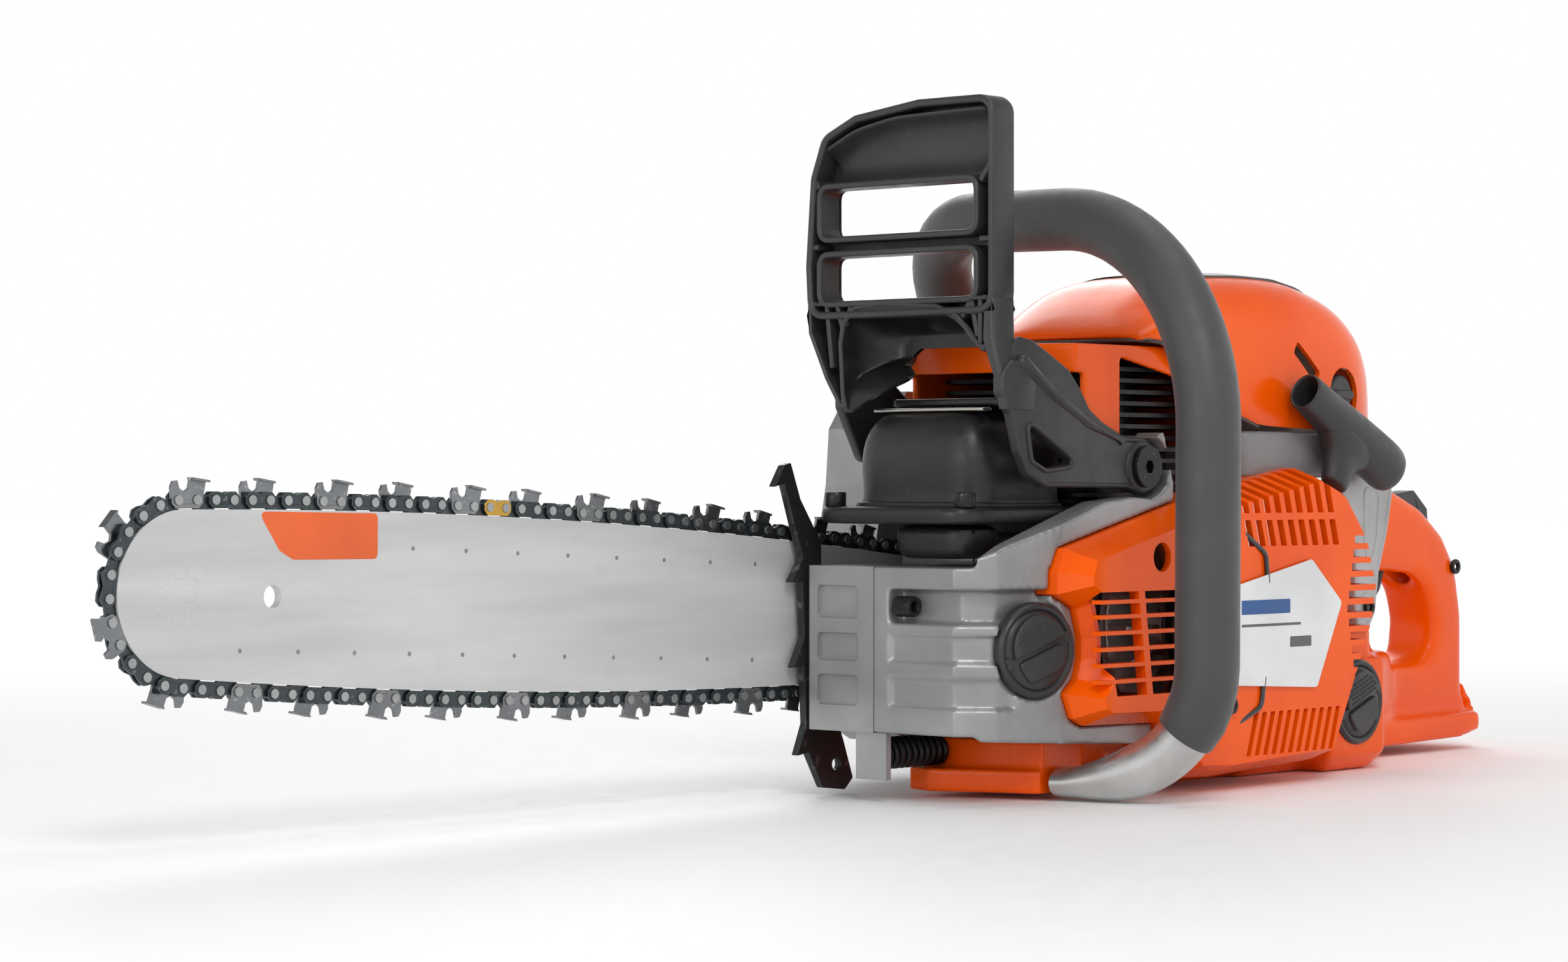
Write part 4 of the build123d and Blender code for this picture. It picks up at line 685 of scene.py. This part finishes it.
def hand_guard():
    """Front hand guard: deep rim, webs round two windows, hood, bowl and both arms."""
    rim = rounded(GUARD_RIM, 9)
    arch = rounded(ARCH, 2.5)
    depth = BACK - FRONT
    middle = ((FRONT + BACK) / 2, 0, 0)
    windows = [rounded(box_outline(-41.4, low, 39, high), 4)
               for low, high in ((230, 249.5), (203.4, 221.5))]
    parts = [
        plate("rim", [rim, inset(rim, 3.2)], depth, middle, "front", edge=1.3),
        plate("web", [inset(rim, 1.5)] + windows, 2.6, (BACK - 1.5, 0, 0), "front", edge=0.6),
        plate("arch", [inset(arch, 0.4)], 2.6, (BACK - 3, 0, 0), "front", edge=0.6),
        plate("arch_rim", [arch, inset(arch, 1.9)], depth - 1, middle, "front", edge=0.8),
        hood(),
    ]
    for k, hole in enumerate(windows):
        parts.append(plate(f"window_rim_{k}", [inset(hole, -2.6), hole], depth - 0.6, middle, "front",
                           edge=0.9))
    for ends in (((-44.5, 249), (-49.5, 256)), ((-44, 226), (-49.5, 226)), ((-44.3, 203), (-44.3, 184)),
                 ((41, 250), (44, 256)), ((41, 226), (45, 226)), ((-39.7, 202), (-35, 195)),
                 ((-39.7, 202), (-43, 187)), ((36.6, 202), (33.5, 176)), ((31.3, 203), (27.6, 191)),
                 ((23.4, 201), (27.6, 191))):
        parts.append(strut(ends, depth - 2, middle))
    right_arm = rounded([
        (-112, 214), (-104, 214), (-65, 172), (-30, 148), (-15, 140), (-15, 130), (-24, 124.3), (-35, 128),
        (-84, 138), (-97, 160), (-98, 185), (-112, 203)], 4)
    parts.append(plate("right_arm", [right_arm, circle(*PIVOT, PIVOT_HOLE)], 4.9, (0, 46.9, 0), edge=1.2))
    dress(joined("guard_moulding", parts + guard_arm()), "dark_plastic", body_of["hand_guard"],
          ["hand_guard"], smooth_angle=42)
    # painted shade: the bowl takes the near-black material so that its hollow reads as shaded
    dress(bowl(), "dark_plastic", body_of["hand_guard"], mat=MARKS["bowl_painted_shade"], smooth_angle=60)


hand_guard()

# ---------------------------------------------------------------- caps, starter handle, spring


def filler_cap(node, place, normal, lean):
    """Quarter-turn cap with a flip-up grip, rows of grip dots and two small lugs."""
    out = Vector(normal)
    across = Vector((0, 0, 1)).cross(out).normalized()
    spot = Matrix((across, out.cross(across), out)).transposed().to_4x4()
    spot = spot @ Matrix.Rotation(math.radians(lean), 4, "Z")
    profile = [(13.5, 2.2), (15.2, 1.6), (15.9, 0.9), (16.6, 1.7), (17.8, 1.9), (18.8, 1.2), (19.2, 0),
               (19.2, -3), (18.6, -3.6)]
    rings = [[(x, y, z) for x, y in circle(0, 0, r, 48)] for r, z in profile]
    flap = [(13.2 * math.cos(a), 13.2 * math.sin(a) + 1.2) for a in (math.pi * k / 24 for k in range(25))]
    ear = rounded([(-12.6, -1), (12.6, -1), (9, -11), (-9, -11)], 3)
    parts = [
        loft("cap_body", rings),
        plate("cap_flap", [flap], 3.0, (0, 0, 3.0), "plan", edge=0.9),
        plate("cap_ear", [ear], 2.4, (0, 0, 2.4), "plan", edge=0.9),
    ]
    for row in range(5):
        for k in range(-5, 6):
            x, y = 1.9 * k + 0.95 * (row % 2), 2.8 + 1.9 * row
            if x * x + (y - 1.2) ** 2 < 11.4 ** 2:
                dot = [[(a, b, z) for a, b in circle(x, y, r, 8)]
                       for r, z in ((0.62, 4.3), (0.5, 4.8), (0.24, 5.0))]
                parts.append(loft("dot", dot))
    for x in (-15.4, 15.4):
        notch = rounded(box_outline(x - 1.6, -2.4, x + 1.6, 2.4), 0.6)
        parts.append(plate("notch", [notch], 1.6, (0, 0, 1.6), "plan", edge=0.4))
    whole = joined(node + "_lid", parts)
    whole.data.transform(Matrix.Translation(Vector(place) * MM) @ spot)
    dress(whole, "dark_plastic", body_of[node], [node])


CAP_LEAN = 20
filler_cap("oil_cap", (-99.0, -58.7, 62.0), (-0.2425, -0.9701, 0), CAP_LEAN)
filler_cap("fuel_cap", (137, -57, 31), (0, -1, 0), CAP_LEAN)


def starter_handle():
    """T-shaped pull handle: an oval bar with a hollow end that flows into its stem."""
    start, end = Vector((80, -67, 168.5)), Vector((149.5, -67, 133.2))
    along = (end - start).normalized()
    pull = Vector((-along.z, 0, along.x))
    middle = (start + end) / 2
    across = Vector((0, 1, 0))

    def oval(place, a, b, first, second):
        return [tuple(place + first * a * math.cos(t) + second * b * math.sin(t))
                for t in (2 * math.pi * k / 36 for k in range(36))]

    # share of the way along and half height, from inside the hollow end to the far end
    bar = [(0.30, 5.4), (0.04, 6.6), (0.004, 7.4), (0.0, 8.0), (0.006, 8.6), (0.03, 9.0), (0.14, 9.1),
           (0.3, 9.6), (0.5, 10.6), (0.7, 11.2), (0.88, 11.6), (0.95, 11.2), (0.985, 9.6), (1.0, 6.6),
           (1.004, 3)]
    # distance below the bar, half width and half thickness
    stem = [(27.0, 6.4, 5.0), (25.5, 7.6, 5.6), (20, 8.4, 5.8), (15, 10.4, 6.2), (11.5, 14, 6.8),
            (8.5, 19.5, 7.6), (5, 25, 8.4), (0, 28, 8.4)]
    whole = joined("pull_handle", [
        loft("bar", [oval(start.lerp(end, share), size * 0.84, size, across, pull) for share, size in bar]),
        loft("stem", [oval(middle - pull * drop, wide, thick, along, across) for drop, wide, thick in stem]),
    ])
    add_modifier(whole, "soft", "SUBSURF", levels=1, render_levels=1)
    dress(bake(whole), "dark_plastic", body_of["starter_grip"], ["starter_grip"], smooth_angle=60)


starter_handle()


COIL_TURNS, COIL_STEPS, COIL_WIRE = 10, 20, 1.4


def coil_spring():
    """Close-wound spring between the crankcase foot and the bracket."""
    low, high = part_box("av_spring")
    centre = (low + high) / MM / 2
    radius = (high.z - low.z) / MM / 2 - COIL_WIRE
    length = (high.x - low.x) / MM
    count = COIL_TURNS * COIL_STEPS
    path = []
    for k in range(count + 1):
        angle = 2 * math.pi * k / COIL_STEPS
        path.append(Vector((low.x / MM + 1 + (length - 2) * k / count,
                            centre.y + radius * math.cos(angle), centre.z + radius * math.sin(angle))))
    dress(tube("vibration_spring", path, COIL_WIRE, 10), "spring_rubber", "powerhead", ["av_spring"],
          smooth_angle=80)


coil_spring()

# ---------------------------------------------------------------- muffler


def boxy_ring(x, y, half_x, half_y, z, square):
    """A level ring that is an ellipse when square is 1 and nears a box as it falls to 0."""
    turns = [2 * math.pi * k / 56 for k in range(56)]
    return [(x + half_x * math.copysign(abs(math.cos(t)) ** square, math.cos(t)),
             y + half_y * math.copysign(abs(math.sin(t)) ** square, math.sin(t)), z) for t in turns]


def muffler():
    """Pressed muffler with a bulged can over a thick rounded flange."""
    can = [boxy_ring(-84, -8, 31.5 * k, 32.5 * k, z, 0.42) for z, k in (
        (118, 1.10), (120.5, 1.03), (124, 1.01), (131, 1.03), (139, 1.035), (146, 1.0), (151, 0.94),
        (154.6, 0.86), (157, 0.76), (157.8, 0.66))]
    flange = [boxy_ring(-91, -6.5, 40 - k, 41 - k, z, 0.3) for z, k in (
        (111.9, 3), (112.6, 1), (114, 0.2), (117, 0.2), (118.6, 0.9), (119.3, 2.4), (119.3, 8))]
    sump = [boxy_ring(-107, -20, 15 - k, 19 - k, z, 0.5) for z, k in (
        (98, 4), (99.2, 1.8), (101.5, 0.6), (107, 0), (113, 0))]
    seam = [rounded(box_outline(-118, -42, -52, 26), 14), rounded(box_outline(-112, -36, -58, 20), 12)]
    body = joined("muffler_can", [
        loft("can", can), loft("flange", flange), loft("sump", sump),
        plate("seam", seam, 3.0, (0, 0, 119.6), "plan", edge=1.2),
    ])
    add_modifier(body, "soft", "SUBSURF", levels=1, render_levels=1)
    dress(bake(body), "muffler_steel", "powerhead", ["muffler"], smooth_angle=50)
    strip = [rounded(box_outline(-107, -38, -100, 20), 2)]
    dress(plate("muffler_strip", strip, 1.4, (0, 0, 158.4), "plan", edge=0.4), "shield_steel", "powerhead")
    fin = [rounded(box_outline(-98, -40, -66, 18), 4)]
    dress(plate("muffler_deflector", fin, 3.4, (0, 0, 161.4), "plan", edge=1.2), "muffler_steel",
          "powerhead", ["muffler_shield"])


muffler()

# ---------------------------------------------------------------- castings and mouldings rounded from the CAD

moulded("crankcase_left", 1.1, 3)
moulded("tank_handle", 1.5, 10, lambda p: p.x > 192 and p.z > 24)
moulded("front_bracket", 1.0, 10)
moulded("cylinder_cover", 1.0, 3)
nodes["cylinder"].data.materials[0] = MARKS["fin_black"]

# ---------------------------------------------------------------- label and trim of the starter cover


def cover_marks():
    """Plain label with a rule, a blue bar and a grey block, and the two dark inlaid strips."""
    face = -79.4
    label = rounded([(-16, 81), (67, 96.1), (90.2, 77.2), (70.9, 41.0), (-16, 45.4)], 2.5)
    dress(plate("label", [label], 0.8, (0, face, 0), edge=0.3), "label_white", "powerhead", ["label_plate"])
    for name, x0, z0, x1, z1, mat in (("label_rule", 14, 68.3, 58, 69.4, "grey_print"),
                                      ("label_bar", 14, 73.5, 50, 79.5, "blue_print"),
                                      ("label_block", 50, 59, 66, 63.5, "grey_print")):
        mark = plate(name, [rounded(box_outline(x0, z0, x1, z1), 0.5)], 0.3, (0, face - 0.4, 0), edge=0.1)
        dress(mark, "label_white", "powerhead", mat=MARKS[mat])
    inlays = [((12.2, 112.4), (33.3, 98.8), (34.7, 86.6)), ((31.9, 47), (30, 34.5), (7.6, 24.9))]
    for k, strip in enumerate(inlays):
        # above and below the label the cover's face lies further in
        corners = [(x, face + (0.6 if 30 < z < 100 else 3.4), z) for x, z in strip]
        dress(tube(f"inlay_{k}", bent_path(corners, [5], 2), 1.1, 10), "trim_grey", "powerhead",
              smooth_angle=60)


cover_marks()


def housing():
    """Mid grey band under the dome and the light grey arm down to the tank."""
    plan = rounded([(52, -56.5), (150, -56.5), (172, -40), (172, 40), (158, 54), (52, 54)], 8)
    dress(plate("housing_band", [plan], 20, (0, 0, 141), "plan", edge=2), "housing_grey", "powerhead",
          ["carburettor_housing"])
    arm = rounded([(124, 142), (168, 142), (168, 122), (164, 106), (157, 88), (154, 70), (148, 62),
                   (140, 64), (137, 76), (138, 96), (130, 112)], 5)
    pocket = rounded([(146, 126), (156, 124), (154, 104), (149, 92), (146, 104)], 3)
    parts = [
        plate("arm_web", [inset(arm, 0.6)], 4.4, (0, -53.4, 0), edge=1),
        plate("arm_rim", [arm, inset(arm, 3.2)], 6, (0, -53.2, 0), edge=1.6),
        plate("arm_pocket", [inset(pocket, -2), pocket], 5.2, (0, -53.3, 0), edge=1.2),
        plate("arm_boss", [circle(147, 73, 7)], 5.4, (0, -53.3, 0), edge=1.2),
    ]
    dress(joined("housing_arm", parts), "housing_grey", "powerhead", mat=MARKS["light_arm"])


housing()

# ---------------------------------------------------------------- camera, light and floor



def studio_world():
    """White surroundings that darken towards the top."""
    world = bpy.data.worlds.new("studio")
    world.use_nodes = True
    new, link = world.node_tree.nodes.new, world.node_tree.links.new
    place = new("ShaderNodeTexCoord")
    height = new("ShaderNodeSeparateXYZ")
    tone = new("ShaderNodeValToRGB")
    backdrop = world.node_tree.nodes["Background"]
    link(place.outputs["Generated"], height.inputs[0])
    link(height.outputs["Z"], tone.inputs[0])
    link(tone.outputs[0], backdrop.inputs[0])
    stops = ((0.3, (1, 1, 1, 1)), (0.6, (0.32, 0.32, 0.33, 1)))
    for stop, (position, color) in zip(tone.color_ramp.elements, stops):
        stop.position = position
        stop.color = color
    backdrop.inputs[1].default_value = 1.0
    bpy.context.scene.world = world


def lamp(name, place, target, size, power):
    """A soft square light that faces its target."""
    light = bpy.data.lights.new(name, "AREA")
    light.size = size
    light.energy = power
    obj = bpy.data.objects.new(name, light)
    bpy.context.scene.collection.objects.link(obj)
    obj.location = place
    obj.rotation_euler = (Vector(target) - Vector(place)).to_track_quat("-Z", "Y").to_euler()


def floor_paint():
    """White paint that fades, away from the saw, into the bright backdrop."""
    paint = shader("studio floor", (0.97, 0.97, 0.97), 0.6, shade=(0.96, 0.96, 0.96), grain=60,
                   depth=0.00002)
    new, link = paint.node_tree.nodes.new, paint.node_tree.links.new
    place = new("ShaderNodeTexCoord")
    distance = new("ShaderNodeVectorMath")
    distance.operation = "LENGTH"
    link(place.outputs["Object"], distance.inputs[0])
    fade = new("ShaderNodeMapRange")
    fade.interpolation_type = "SMOOTHSTEP"
    fade.inputs["From Min"].default_value = 0.3
    fade.inputs["From Max"].default_value = 1.3
    link(distance.outputs["Value"], fade.inputs["Value"])
    glow = new("ShaderNodeEmission")
    glow.inputs["Strength"].default_value = 1.02
    blend = new("ShaderNodeMixShader")
    output = next(node for node in paint.node_tree.nodes if node.type == "OUTPUT_MATERIAL")
    link(fade.outputs[0], blend.inputs[0])
    link(output.inputs[0].links[0].from_socket, blend.inputs[1])
    link(glow.outputs[0], blend.inputs[2])
    link(blend.outputs[0], output.inputs[0])
    return paint


def studio_floor():
    """A wide floor just under the saw."""
    half = 9000
    floor = mesh_object("floor", [(x, y, 0) for x, y in box_outline(-half, -half, half, half)],
                        [(0, 1, 2, 3)])
    floor.location.z = -0.0002
    floor.data.materials.append(floor_paint())


def set_camera(lens, place, aim):
    """The camera, level at this place in metres, with this focal length."""
    data = bpy.data.cameras.new("camera")
    data.lens = lens
    data.sensor_width = 36
    data.clip_start = 0.01
    camera = bpy.data.objects.new("camera", data)
    bpy.context.scene.collection.objects.link(camera)
    camera.location = place
    camera.rotation_euler = Vector(aim).to_track_quat("-Z", "Y").to_euler()
    bpy.context.scene.camera = camera


studio_world()
bpy.context.scene.view_settings.view_transform = "Standard"
lamp("key light", (-1.3, -1.5, 1.7), (0, 0, 0.1), 0.7, 17)
lamp("top light", (0.2, -0.2, 1.9), (0, 0, 0.1), 1.2, 8)
lamp("rim light", (1.2, 1.4, 1.3), (0, 0, 0.15), 1.0, 10)
lamp("nose light", (-1.9, -0.1, 0.7), (-0.3, 0, 0.1), 0.8, 5)
studio_floor()
set_camera(84.74, (-1.2651, -0.9624, 0.1295), (0.7469, 0.6649, 0))
